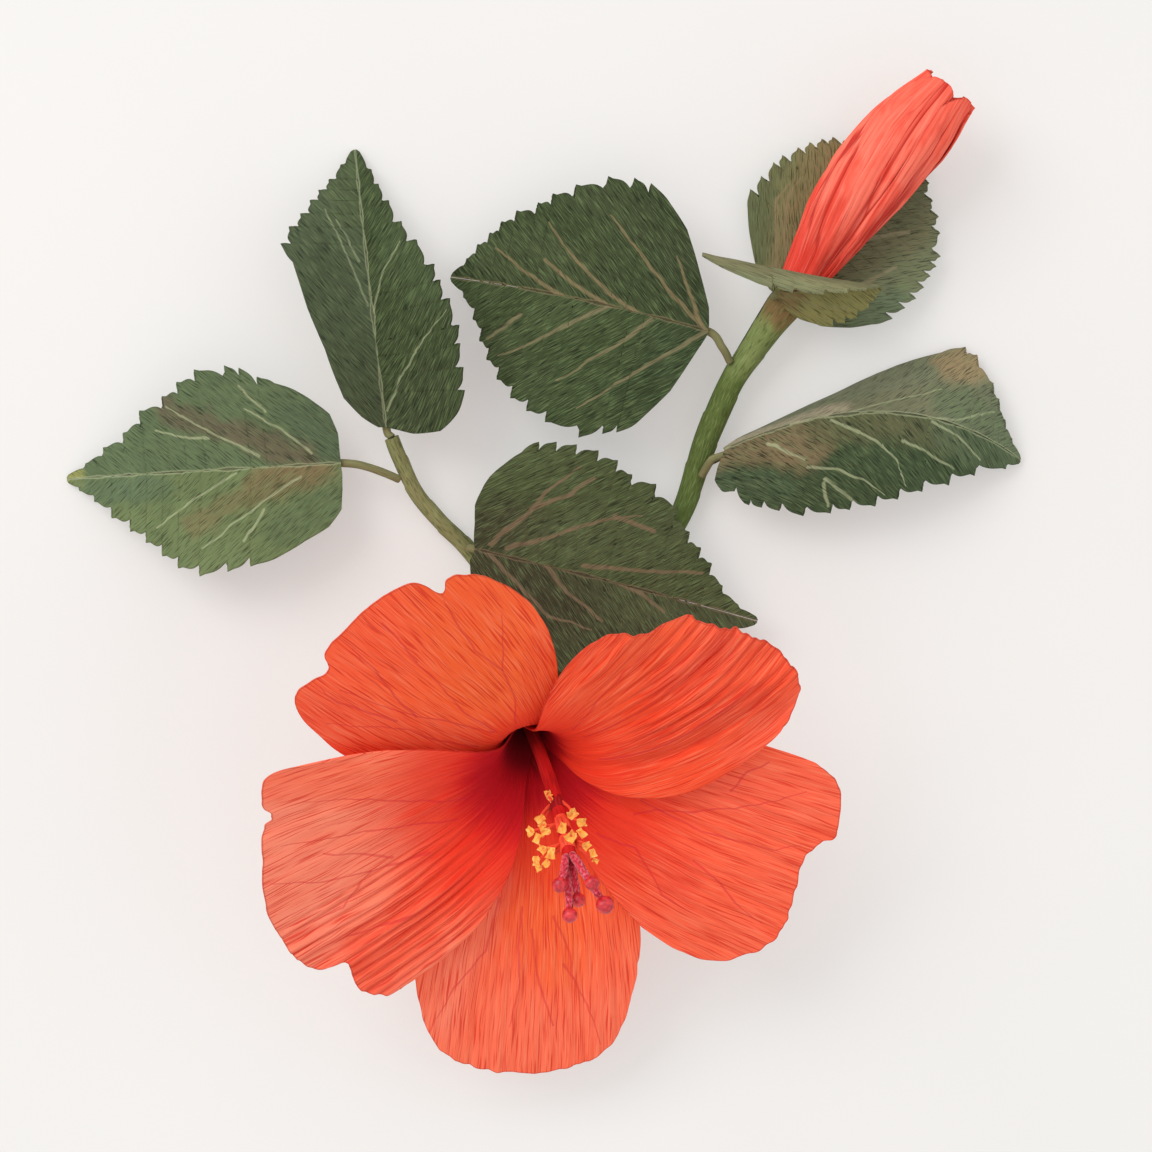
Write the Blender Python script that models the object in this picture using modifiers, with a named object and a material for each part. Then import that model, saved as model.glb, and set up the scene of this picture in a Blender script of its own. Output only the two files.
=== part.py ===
"""A crepe-paper hibiscus spray, lying on a table: one open flower, one rolled bud and
seven serrated leaves on a wrapped wire stem. Lengths are in millimetres and become
metres when a mesh is made. +Z points up from the table and +Y to the top of the spray."""
import math
from collections import namedtuple

import bmesh
import bpy
from mathutils import Matrix, Vector

MM = 0.001
SPRAY = "crepe_paper_hibiscus_spray"

# Paper and clearances
PETAL_PAPER = 0.4
LEAF_PAPER = 0.4
CALYX_PAPER = 0.5
GLUE_GAP = 0.3

# Flower: the point where the petals are glued, and the way the flower faces
FLOWER_BASE = Vector((-5.3, -34.4, 26.0))
FLOWER_AXIS = Vector((0.157, -0.537, 0.829)).normalized()

# Petal trumpet: the angle to the flower's axis opens along the petal's length
THROAT_RADIUS = 2.4
THROAT_ANGLE = 14.0
FLARE_ANGLE = 70.0
RIM_ANGLE = 80.0
THROAT_LENGTH = 11.0
FLARE_END = 38.0
RIM_LENGTH = 85.0
BASE_LAYER = 0.4
OPEN_LAYER = 0.95
LAYER_LENGTH = 22.0
PETAL_STATIONS = (0.0, 0.09, 0.18, 0.28, 0.4, 0.55, 0.77, 1.0)

# Each rim is a list of (angle round the axis, length from the base) from the petal's
# first side edge to its second, and each side edge has its angle at the base and how
# far it bulges. A layer of 1 lies in front of a layer of -1, first edge and second.
Petal = namedtuple("Petal", "rim base bulge layer lift curl")
PETALS = {
    "petal_top_left": Petal(
        ((94, 62), (100, 74), (108, 84), (114, 87), (117, 83), (121, 90), (134, 89),
         (142, 87), (145, 83), (151, 86), (156, 83), (168, 63)),
        (86, 178), (-6, 3), (-1, -1), (0, 0), -0.8),
    "petal_top_right": Petal(
        ((84, 60), (77, 67), (68, 71), (64, 79), (61, 79), (53, 82), (45, 85), (38, 86),
         (32, 84), (27, 80), (22, 75), (17, 68)),
        (100, 0), (4, -16), (1, 1), (1.5, 4.0), 2),
    "petal_right": Petal(
        ((13, 74), (9, 84), (3, 88), (-7, 89), (-9, 86), (-15, 84), (-25, 87),
         (-31, 89), (-39, 87), (-47, 80), (-54, 64)),
        (36, -60), (7, -3), (-1, 1), (0, 2.0), 0),
    "petal_bottom": Petal(
        ((-57, 68), (-63, 78), (-69, 89), (-75, 95), (-82, 97), (-90, 97), (-98, 96),
         (-104, 93), (-110, 86), (-118, 74)),
        (-42, -130), (8, -6), (-1, -1), (0, 0), -1.0),
    "petal_left": Petal(
        ((241, 74), (237, 81), (231, 83), (224, 80), (220, 87), (214, 88), (203, 88),
         (192, 86), (184, 85), (180, 83), (176, 86), (169, 85), (164, 68)),
        (254, 152), (10, -6), (1, 1), (3.5, 1.5), 2),
}

# Stamen column and what it carries
COLUMN_TIP = Vector((6.7, -67.4, 72.0))
COLUMN_FOOT_RADIUS = 1.5
COLUMN_TIP_RADIUS = 1.7
COLUMN_BOW = 1.2
FRINGE_NAMES = ("stamen_fringe_lower", "stamen_fringe_middle", "stamen_fringe_upper")
FRINGE_PLACES = (0.66, 0.79, 0.92)
FRINGE_HEIGHT = 4.0
FRINGE_PAPER = 0.4
FILAMENTS_PER_FRINGE = 6
FILAMENT_RADIUS = 0.32
FILAMENT_LENGTH = 5.0
FILAMENT_LEAN = 28.0
ANTHER_SIZE = Vector((1.3, 0.9, 0.55))
GOLDEN_ANGLE = 137.5
STYLE_RING = 1.15
STYLE_RADIUS = 0.45
STYLE_SWELL = 1.5
# The centre of each stigma bead, and its radius
STIGMAS = (
    (Vector((4.4, -73.3, 80.0)), 1.8),
    (Vector((11.8, -72.7, 82.5)), 1.7),
    (Vector((8.6, -77.1, 76.0)), 1.7),
    (Vector((6.7, -80.2, 81.0)), 1.8),
    (Vector((14.8, -77.9, 80.0)), 2.1),
)

# Calyx and bracts behind the flower
CALYX_DEPTH = 9.0
CALYX_LOBES = 5
CALYX_CUP = 6.0
CALYX_LOBE = 11.0
BRACT_COUNT = 6
BRACT_RING = 3.0
BRACT_LENGTH = 11.0
BRACT_SPREAD = 50.0

# Stems: points of the centre line, and the radius of the wrap along it
WIRE_CLEARANCE = 0.35
MAIN_WIRE = 0.9
SIDE_WIRE = 0.6
MAIN_STEM = ((4.1, -110.5, 2.6), (5.6, -88.0, 2.6), (6.6, -65.6, 2.5), (8.6, -43.1, 2.5),
             (14.1, -23.2, 2.5), (24.1, -4.5, 2.7), (34.5, 13.7, 3.4), (40.5, 31.6, 4.6),
             (47.1, 46.4, 6.5), (53.7, 56.3, 8.2), (59.1, 64.1, 10.0), (62.4, 68.2, 11.2))
MAIN_STEM_RADII = (2.6, 2.5, 2.5, 2.5, 2.5, 2.6, 2.7, 2.9, 3.0, 3.5, 4.3, 4.0)
TWIG = ((3.7, -45.0, 2.9), (4.9, -38.0, 2.9), (-1.2, -26.0, 2.6), (-8.8, -9.5, 2.3),
        (-18.6, 4.2, 2.8), (-26.0, 11.7, 4.0), (-31.9, 19.1, 5.5), (-35.8, 27.5, 7.5),
        (-37.5, 32.0, 8.5))
TWIG_RADII = (1.8, 1.9, 2.0, 2.1, 2.1, 2.0, 1.9, 1.8, 1.7)
PEDICEL_RADIUS = 1.8
PEDICEL_ROUTE = ((-8.2, -25.8, 12.6), (-6.2, -23.6, 9.6), (-1.6, -24.0, 8.6),
                 (3.4, -27.0, 9.0), (7.5, -29.9, 7.6), (10.0, -30.8, 4.75))
STALK_RADIUS = 1.0
MIDRIB_RADIUS = 0.5
MIDRIB_SHARE = 0.72
WIRE_SLOPE = 0.5

# Leaves. A half blade is bent from its slope at the midrib to its slope at the margin, each
# given near the base and near the tip, over its greatest width. Its lobe is how far the
# base reaches back, and reach moves its base end. Its edge is a plain stretch from the base
# and then the tips of its teeth, as (place along the midrib from 0 to 1, width).
TOOTH_DEPTH = 1.6
NOTCH_SHARE = 0.18
FULL_TOOTH_WIDTH = 12.0
MIDRIB_GAP = 0.4
LEAF_END_WIDTH = 0.9
Half = namedtuple("Half", "width lobe reach fold margin base tips")
Leaf = namedtuple("Leaf", "base tip arch bow wire_shift left right stalk")
LEAVES = {
    "leaf_far_left": Leaf(
        (-50.0, 25.7, 11.0), (-119.0, 22.0, 0.6), 2.5, 0.0, 0.0,
        Half(26.5, 1.5, (0, 0, 0), (14, 14), (24, 10),
             ((0.0, 3.0), (0.014, 11.9), (0.057, 16.3), (0.136, 19.8), (0.22, 23.4)),
             ((0.31, 25.2), (0.39, 26.2), (0.49, 26.9), (0.57, 24.4), (0.63, 21.0),
              (0.69, 17.4), (0.75, 14.2), (0.82, 10.6), (0.89, 6.2), (0.95, 3.2))),
        Half(26.5, 0.0, (0, 0, 0), (14, 14), (24, 10),
             ((0.0, 7.4), (0.021, 12.4), (0.079, 16.3), (0.136, 19.3), (0.2, 21.2)),
             ((0.25, 22.8), (0.31, 25.4), (0.36, 26.2), (0.47, 25.6), (0.54, 22.6),
              (0.60, 19.2), (0.69, 15.9), (0.76, 10.6), (0.845, 7.2), (0.92, 3.6))),
        ((-43.4, 24.7, 9.5), (-38.4, 22.9, 7.9), (-36.6, 22.1, 7.0))),
    "leaf_upper_left": Leaf(
        (-38.9, 34.6, 9.8), (-47.1, 104.2, 0.6), 4.5, 0.0, 0.0,
        Half(21.5, 0.0, (0, 0, 0), (26, 26), (44, 30),
             ((0.0, 2.0), (0.036, 6.4), (0.1, 10.8), (0.271, 14.4), (0.414, 18.1),
              (0.579, 20.4)),
             ((0.636, 22.9), (0.70, 20.0), (0.75, 16.2), (0.80, 13.2), (0.84, 10.6),
              (0.88, 7.8), (0.94, 4.2))),
        Half(25.0, 5.0, (0, 0, 0), (24, 24), (44, 30),
             ((0.0, 7.5), (0.021, 15.4), (0.064, 21.0)),
             ((0.114, 24.5), (0.171, 25.0), (0.236, 25.1), (0.29, 25.2), (0.38, 23.0),
              (0.45, 20.4), (0.51, 18.8), (0.61, 14.4), (0.69, 10.6), (0.78, 7.6),
              (0.85, 5.3), (0.91, 3.9))),
        ((-37.65, 32.35, 8.57),)),
    "leaf_upper_middle": Leaf(
        (40.7, 58.2, 13.0), (-23.0, 72.1, 5.0), 3.0, -1.0, 0.0,
        Half(31.5, 0.0, (0, 0, 0), (6, 6), (14, 2),
             ((0.0, 1.2), (0.021, 5.3), (0.086, 17.1), (0.179, 27.0)),
             ((0.236, 30.2), (0.286, 31.4), (0.37, 33.6), (0.507, 31.6), (0.586, 29.8),
              (0.657, 27.4), (0.725, 23.4), (0.78, 19.0), (0.825, 14.6), (0.87, 9.6),
              (0.93, 4.6))),
        Half(34.0, 0.0, (0, 0, 0), (6, 6), (14, 2),
             ((0.0, 1.3), (0.014, 5.7), (0.086, 15.2), (0.15, 22.8), (0.229, 27.9)),
             ((0.307, 31.4), (0.372, 31.8), (0.47, 30.8), (0.585, 27.2), (0.665, 24.0),
              (0.715, 21.2), (0.79, 18.4), (0.84, 15.2), (0.875, 12.0), (0.915, 8.8),
              (0.95, 5.0))),
        ((44.2, 54.3, 11.8), (46.2, 50.9, 9.6))),
    "leaf_centre": Leaf(
        (-16.9, 4.4, 9.6), (53.0, -13.4, 10.0), 2.0, 0.5, 0.0,
        Half(31.5, 7.0, (0, 0, 0), (6, 6), (12, 4),
             ((0.0, 1.2), (0.014, 6.5), (0.021, 10.6), (0.043, 14.7), (0.064, 18.2),
              (0.107, 22.9), (0.14, 26.0)),
             ((0.171, 29.2), (0.215, 30.2), (0.27, 30.8), (0.335, 30.6), (0.40, 29.4),
              (0.455, 26.8), (0.54, 26.0), (0.63, 21.8), (0.69, 16.6), (0.74, 13.6),
              (0.79, 10.6), (0.85, 6.0), (0.92, 2.6))),
        Half(24.0, 2.0, (0, 0, 0), (4, 4), (6, 2),
             ((0.0, 3.0), (0.05, 11.0), (0.15, 18.5), (0.28, 22.5)),
             ((0.38, 24.0), (0.46, 23.6), (0.54, 22.0), (0.62, 19.5), (0.70, 16.2),
              (0.78, 12.2), (0.86, 8.0), (0.93, 4.4))),
        ((-17.8, 4.6, 7.0), (-18.3, 4.6, 5.4))),
    "leaf_right": Leaf(
        (44.9, 29.1, 12.5), (119.0, 26.7, 1.5), 14.0, 10.0, -1.6,
        Half(25.0, 0.0, (0, 0, 0), (-84, 4), (-114, -6),
             ((0.0, 2.0), (0.08, 10.0), (0.25, 16.0), (0.45, 20.5), (0.614, 22.0),
              (0.729, 22.6)),
             ((0.80, 24.0), (0.835, 21.8), (0.885, 15.0), (0.905, 11.6), (0.93, 7.0),
              (0.96, 3.6))),
        Half(26.0, 4.0, (0, 0, 0), (-12, -12), (-34, -12),
             ((0.0, 4.4), (0.007, 8.3), (0.036, 12.1)),
             ((0.064, 13.4), (0.114, 18.7), (0.15, 20.4), (0.20, 22.5), (0.27, 25.2),
              (0.35, 25.6), (0.407, 25.0), (0.486, 24.0), (0.557, 21.6), (0.636, 18.6),
              (0.729, 15.2), (0.82, 10.3), (0.94, 4.6))),
        ((41.8, 26.6, 10.0), (39.4, 22.7, 7.1))),
    "leaf_under_bud": Leaf(
        (59.4, 66.6, 3.6), (93.0, 107.5, 1.4), 0.6, 0.0, 0.0,
        Half(24.0, 0.0, (0, 0, 0), (5, 5), (12, 10),
             ((0.0, 4.0), (0.036, 9.9), (0.136, 16.6), (0.221, 21.1)),
             ((0.29, 23.4), (0.37, 23.4), (0.457, 23.2), (0.51, 22.6), (0.586, 20.8),
              (0.64, 19.4), (0.69, 17.6), (0.73, 15.8), (0.79, 12.0), (0.86, 8.0),
              (0.93, 4.4))),
        Half(26.0, 0.0, (0, 0, 0), (5, 5), (10, 8),
             ((0.0, 6.8), (0.021, 12.1), (0.093, 17.5), (0.171, 21.4)),
             ((0.243, 24.2), (0.32, 25.0), (0.386, 25.6), (0.45, 25.4), (0.51, 24.8),
              (0.564, 24.4), (0.614, 23.6), (0.70, 19.8), (0.757, 16.9), (0.80, 13.2),
              (0.857, 9.8), (0.914, 7.0), (0.96, 4.0))),
        ((58.2, 64.2, 2.4), (57.4, 61.8, 4.4))),
    "leaf_bract": Leaf(
        (57.6, 67.4, 19.0), (83.0, 68.9, 20.5), 0.0, 0.0, -0.6,
        Half(13.0, 0.0, (-18.5, 9.5, 0), (108, 98), (96, 94),
             ((0.0, 2.0), (0.1, 6.5), (0.25, 10.5)),
             ((0.32, 11.6), (0.40, 12.4), (0.48, 12.8), (0.56, 13.0), (0.64, 12.6),
              (0.72, 11.6), (0.80, 9.8), (0.88, 7.2), (0.95, 4.0))),
        Half(10.0, 0.0, (0, 0, 0), (-20, -20), (-34, -26),
             ((0.0, 1.5), (0.08, 5.0), (0.2, 7.6), (0.36, 9.4)),
             ((0.50, 10.2), (0.62, 9.6), (0.74, 8.2), (0.86, 5.4), (0.94, 3.0))),
        ((56.9, 66.4, 14.6),)),
}

# Bud
BUD_BASE = Vector((62.7, 68.6, 11.3))
BUD_TIP = Vector((100.1, 117.1, 22.0))
BUD_BOW = 2.0
BUD_PETALS = 5
BUD_PETAL_SPAN = 104.0
BUD_LAYER = 0.8
BUD_FLATNESS = 0.82
BUD_TWIST = 55.0
BUD_PLEAT = 0.55
BUD_PROFILE = ((0.0, 4.2), (0.12, 5.6), (0.3, 8.2), (0.5, 9.7), (0.75, 9.9), (1.0, 8.0))
BUD_CORE_SHARE = 0.6


def clear_objects():
    """Start from an empty scene."""
    for old in list(bpy.data.objects):
        bpy.data.objects.remove(old, do_unlink=True)


def paper(name, colour, roughness=0.85):
    """A matt paper of one colour."""
    material = bpy.data.materials.new(name)
    material.use_nodes = True
    surface = material.node_tree.nodes["Principled BSDF"]
    surface.inputs["Base Color"].default_value = (*colour, 1.0)
    surface.inputs["Roughness"].default_value = roughness
    surface.inputs["Metallic"].default_value = 0.0
    return material


def smooth_step(low, high, value):
    """0 below low, 1 above high, and a smooth rise between them."""
    share = min(max((value - low) / (high - low), 0.0), 1.0)
    return share * share * (3.0 - 2.0 * share)


def mix(start, end, share):
    return start + (end - start) * share


def read_curve(pairs, place):
    """Read a list of (place, value) pairs, straight between them."""
    for (here, value), (there, following) in zip(pairs, pairs[1:]):
        if place <= there:
            return mix(value, following, (place - here) / (there - here))
    return pairs[-1][1]


def smooth_route(points, steps=3):
    """A smooth line through the points, with a few steps between each two."""
    knots = [Vector(point) for point in points]
    knots = [knots[0] * 2 - knots[1], *knots, knots[-1] * 2 - knots[-2]]
    route = []
    for index in range(1, len(knots) - 2):
        before, start, end, after = knots[index - 1:index + 3]
        for step in range(steps):
            t = step / steps
            route.append(0.5 * (2 * start + (end - before) * t
                                + (2 * before - 5 * start + 4 * end - after) * t ** 2
                                + (3 * start - before - 3 * end + after) * t ** 3))
    route.append(knots[-2])
    return route


class Workshop:
    """Makes the spray's pieces as named objects in their collection."""

    def __init__(self):
        self.spray = bpy.data.collections.new(SPRAY)
        self.cutters = bpy.data.collections.new("cutters")
        for collection in (self.spray, self.cutters):
            bpy.context.scene.collection.children.link(collection)

    def keep(self, name, data, material, collection=None):
        piece = bpy.data.objects.new(name, data)
        (collection or self.spray).objects.link(piece)
        if material:
            data.materials.append(material)
        return piece

    def sheet(self, name, columns, rows, place, thickness, material, closed=False):
        """Paper cut to a grid: place(column, row) gives a point of its middle surface."""
        bm = bmesh.new()
        bmesh.ops.create_grid(bm, x_segments=columns, y_segments=rows, size=0.5)
        for corner in bm.verts:
            column = round((corner.co.x + 0.5) * columns)
            row = round((corner.co.y + 0.5) * rows)
            corner.co = place(column, row) * MM
        if closed:
            bmesh.ops.remove_doubles(bm, verts=bm.verts, dist=0.01 * MM)
            bmesh.ops.recalc_face_normals(bm, faces=bm.faces)
        mesh = bpy.data.meshes.new(name)
        bm.to_mesh(mesh)
        bm.free()
        piece = self.keep(name, mesh, material)
        wall = piece.modifiers.new("paper", "SOLIDIFY")
        wall.thickness = thickness * MM
        wall.offset = 0.0
        wall.use_even_offset = False
        return piece

    def rod(self, name, route, radii, material, sides=8, collection=None):
        """A round rod along a route, with its own radius at each point."""
        curve = bpy.data.curves.new(name, "CURVE")
        curve.dimensions = "3D"
        curve.bevel_depth = MM
        curve.bevel_resolution = (sides - 4) // 2
        curve.use_fill_caps = True
        spline = curve.splines.new("POLY")
        spline.points.add(len(route) - 1)
        for point, where, radius in zip(spline.points, route, radii):
            point.co = (*(where * MM), 1.0)
            point.radius = radius
        return self.keep(name, curve, material, collection)

    def solid_rod(self, name, route, radii, material, sides=8, collection=None):
        """The same rod as a closed mesh, for a Boolean."""
        rod = self.rod(name, route, radii, None, sides, collection)
        bpy.context.view_layer.update()
        depsgraph = bpy.context.evaluated_depsgraph_get()
        mesh = bpy.data.meshes.new_from_object(rod.evaluated_get(depsgraph))
        bpy.data.objects.remove(rod, do_unlink=True)
        bm = bmesh.new()
        bm.from_mesh(mesh)
        bmesh.ops.remove_doubles(bm, verts=bm.verts, dist=0.001 * MM)
        bm.to_mesh(mesh)
        bm.free()
        return self.keep(name, mesh, material, collection)

    def cut(self, piece, cutter):
        """Cut the piece with a hidden cutter."""
        cutter.hide_render = True
        cutter.display_type = "WIRE"
        hole = piece.modifiers.new("bore", "BOOLEAN")
        hole.operation = "DIFFERENCE"
        hole.solver = "EXACT"
        hole.object = cutter

    def wrapped_stem(self, name, route, radii, wire_radius, wrap, wire):
        """A paper wrap with a bore from end to end, and the wire inside it."""
        stem = self.solid_rod(name, route, radii, wrap)
        first = route[0] + (route[0] - route[1]).normalized()
        last = route[-1] + (route[-1] - route[-2]).normalized()
        bore = wire_radius + WIRE_CLEARANCE
        tool = self.solid_rod(name + "_bore", [first, *route, last],
                              [bore] * (len(route) + 2), None, 6, self.cutters)
        self.cut(stem, tool)
        self.rod(name + "_wire", route, [wire_radius] * len(route), wire, 6)


def flower_frame():
    """The flower's right and up directions, square to its axis."""
    up = (Vector((0, 1, 0)) - FLOWER_AXIS * FLOWER_AXIS.y).normalized()
    right = up.cross(FLOWER_AXIS)
    return right, up


def trumpet_angle(along):
    opened = smooth_step(THROAT_LENGTH, FLARE_END, along)
    past = max((along - FLARE_END) / (RIM_LENGTH - FLARE_END), 0.0)
    return math.radians(mix(THROAT_ANGLE, FLARE_ANGLE, opened)
                        + (RIM_ANGLE - FLARE_ANGLE) * past)


def trumpet_profile(along, step=0.5):
    """Radius and height of the trumpet at a length from the petals' base."""
    radius, height = THROAT_RADIUS, min(along, 0.0)
    done = 0.0
    while done < along:
        piece = min(step, along - done)
        angle = trumpet_angle(done + piece / 2)
        radius += math.sin(angle) * piece
        height += math.cos(angle) * piece
        done += piece
    return radius, height


def flower_point(along, around, forward=0.0):
    """A point of the trumpet, moved forward off its inner face by a distance."""
    right, up = flower_frame()
    angle = math.radians(around)
    outward = right * math.cos(angle) + up * math.sin(angle)
    radius, height = trumpet_profile(along)
    lean = trumpet_angle(along)
    face = FLOWER_AXIS * math.sin(lean) - outward * math.cos(lean)
    return FLOWER_BASE + FLOWER_AXIS * height + outward * radius + face * forward


def layer_distance(along):
    return mix(BASE_LAYER, OPEN_LAYER, smooth_step(0.0, LAYER_LENGTH, along))


def petal_point(petal, column, row):
    """A point of one petal: columns run across it and rows from base to rim."""
    across = column / (len(petal.rim) - 1)
    share = PETAL_STATIONS[row]
    rim_angle, rim_length = petal.rim[column]
    along = share * rim_length
    base_angle = mix(petal.base[0], petal.base[1], across)
    bulge = mix(petal.bulge[0], petal.bulge[1], across) * math.sin(math.pi * share)
    around = mix(base_angle, rim_angle, share) + bulge
    layer = mix(petal.layer[0], petal.layer[1], across) * layer_distance(along)
    first_lift = petal.lift[0] * smooth_step(0.5, 0.0, across)
    second_lift = petal.lift[1] * smooth_step(0.5, 1.0, across)
    lift = (first_lift + second_lift) * math.sin(math.pi * share) ** 1.5
    curl = petal.curl * share ** 4
    return flower_point(along, around, layer + lift + curl)


def make_petals(shop):
    reds = {"petal_top_left": (0.86, 0.12, 0.03), "petal_top_right": (0.85, 0.10, 0.04),
            "petal_right": (0.90, 0.13, 0.07), "petal_bottom": (0.90, 0.13, 0.07),
            "petal_left": (0.88, 0.12, 0.06)}
    for name, petal in PETALS.items():
        shop.sheet(name, len(petal.rim) - 1, len(PETAL_STATIONS) - 1,
                   lambda column, row, petal=petal: petal_point(petal, column, row),
                   PETAL_PAPER, paper(name + "_paper", reds[name]))


def column_point(share):
    """A point of the stamen column's centre line, from its foot to its tip."""
    right, _ = flower_frame()
    bow = right * COLUMN_BOW * 4.0 * share * (1.0 - share)
    return FLOWER_BASE.lerp(COLUMN_TIP, share) + bow


def column_direction(share):
    step = 0.01
    return (column_point(share + step) - column_point(share - step)).normalized()


def make_column(shop):
    steps = 8
    route = [column_point(step / steps) for step in range(steps + 1)]
    radii = [mix(COLUMN_FOOT_RADIUS, COLUMN_TIP_RADIUS, step / steps)
             for step in range(steps + 1)]
    shop.rod("stamen_column", route, radii, paper("column_paper", (0.75, 0.03, 0.02)))


def make_fringe(shop, name, place, first, material):
    """A fringed strip: a collar round the column, filaments and folded anthers."""
    radius = mix(COLUMN_FOOT_RADIUS, COLUMN_TIP_RADIUS, place) + GLUE_GAP + 0.1
    centre = column_point(place)
    direction = column_direction(place)
    turn = direction.to_track_quat("Z", "X")
    to_column = Matrix.Translation(centre * MM) @ turn.to_matrix().to_4x4()

    collar = bmesh.new()
    bmesh.ops.create_cone(collar, cap_ends=True, segments=10, radius1=(radius + FRINGE_PAPER) * MM,
                          radius2=(radius + FRINGE_PAPER) * MM, depth=FRINGE_HEIGHT * MM,
                          matrix=to_column)
    piece = shop.keep(name, bpy.data.meshes.new(name), material)
    collar.to_mesh(piece.data)
    collar.free()

    bits = bmesh.new()
    for index in range(FILAMENTS_PER_FRINGE):
        angle = math.radians(GOLDEN_ANGLE * (first + index))
        reach = FILAMENT_LENGTH * (1.0 + 0.25 * ((first + index) % 3 - 1))
        level = FRINGE_HEIGHT * 0.5 * ((index + 0.5) / FILAMENTS_PER_FRINGE - 0.5)
        lean = math.radians(FILAMENT_LEAN)
        way = Vector((math.cos(angle) * math.cos(lean), math.sin(angle) * math.cos(lean),
                      math.sin(lean)))
        start = Vector((math.cos(angle), math.sin(angle), 0.0)) * (radius + FRINGE_PAPER / 2)
        start.z = level
        facing = way.to_track_quat("Z", "X").to_matrix().to_4x4()
        middle = to_column @ Matrix.Translation((start + way * reach / 2) * MM) @ facing
        bmesh.ops.create_cone(bits, cap_ends=True, segments=4, radius1=FILAMENT_RADIUS * MM,
                              radius2=FILAMENT_RADIUS * 0.8 * MM, depth=reach * MM,
                              matrix=middle)
        end = to_column @ Matrix.Translation((start + way * reach) * MM) @ facing
        end = end @ Matrix.Rotation(angle, 4, "Z") @ Matrix.Rotation(0.6, 4, "X")
        shape = Matrix.Diagonal((*(ANTHER_SIZE * MM), 1.0))
        bmesh.ops.create_icosphere(bits, subdivisions=1, radius=1.0, matrix=end @ shape)
    fringe = shop.keep(name + "_bits", bpy.data.meshes.new(name + "_bits"), None, shop.cutters)
    bits.to_mesh(fringe.data)
    bits.free()
    fringe.hide_render = True
    fringe.display_type = "WIRE"
    union = piece.modifiers.new("filaments", "BOOLEAN")
    union.operation = "UNION"
    union.solver = "EXACT"
    union.use_self = True
    union.object = fringe

    half = FRINGE_HEIGHT / 2 + 0.5
    ends = [centre - direction * half, centre + direction * half]
    tool = shop.solid_rod(name + "_bore", ends, [radius, radius], None, 10, shop.cutters)
    shop.cut(piece, tool)


def make_stamens(shop):
    yellow = paper("anther_paper", (0.93, 0.42, 0.04))
    for number, (name, place) in enumerate(zip(FRINGE_NAMES, FRINGE_PLACES)):
        make_fringe(shop, name, place, number * FILAMENTS_PER_FRINGE, yellow)


def make_styles(shop):
    """Five style arms on the column's end, each with a round bead on its tip."""
    magenta = paper("style_paper", (0.55, 0.02, 0.09))
    crimson = paper("stigma_paint", (0.50, 0.01, 0.04), 0.6)
    direction = column_direction(0.99)
    tip = column_point(1.0)
    side = direction.orthogonal().normalized()
    other = direction.cross(side)

    def bearing(bead):
        return math.atan2((bead - tip).dot(other), (bead - tip).dot(side))

    order = sorted(STIGMAS, key=lambda stigma: bearing(stigma[0]))
    middle = sum(bearing(bead) - math.tau * n / 5 for n, (bead, _) in enumerate(order)) / 5
    for number, (bead, radius) in enumerate(order, start=1):
        angle = middle + math.tau * (number - 1) / 5
        outward = side * math.cos(angle) + other * math.sin(angle)
        seat = tip + direction * GLUE_GAP + outward * STYLE_RING
        elbow = seat.lerp(bead, 0.5) + direction * 0.8
        arrive = (bead - elbow).normalized()
        end = bead - arrive * (radius + GLUE_GAP)
        route = smooth_route((seat, seat + direction * 1.5 + outward * 0.5, elbow, end), 2)
        swell = [mix(1.0, STYLE_SWELL, min(n / 3, 1.0)) for n in range(len(route))]
        shop.rod(f"style_{number}", route, [STYLE_RADIUS * s for s in swell], magenta, 6)
        bm = bmesh.new()
        bmesh.ops.create_uvsphere(bm, u_segments=8, v_segments=6, radius=radius * MM,
                                  matrix=Matrix.Translation(bead * MM))
        mesh = bpy.data.meshes.new(f"stigma_{number}")
        bm.to_mesh(mesh)
        bm.free()
        mesh.shade_smooth()
        shop.keep(f"stigma_{number}", mesh, crimson)


def calyx_offset(along):
    """How far behind the petals' middle surface the calyx lies."""
    return layer_distance(max(along, 0.0)) + PETAL_PAPER / 2 + GLUE_GAP + CALYX_PAPER / 2 + 0.1


def calyx_point(along, around):
    if along >= 0.0:
        return flower_point(along, around, -calyx_offset(along))
    foot = PEDICEL_RADIUS + GLUE_GAP + CALYX_PAPER / 2
    brim = THROAT_RADIUS + calyx_offset(0.0)
    right, up = flower_frame()
    angle = math.radians(around)
    outward = right * math.cos(angle) + up * math.sin(angle)
    radius = mix(brim, foot, -along / CALYX_DEPTH)
    return FLOWER_BASE + FLOWER_AXIS * along + outward * radius


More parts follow.
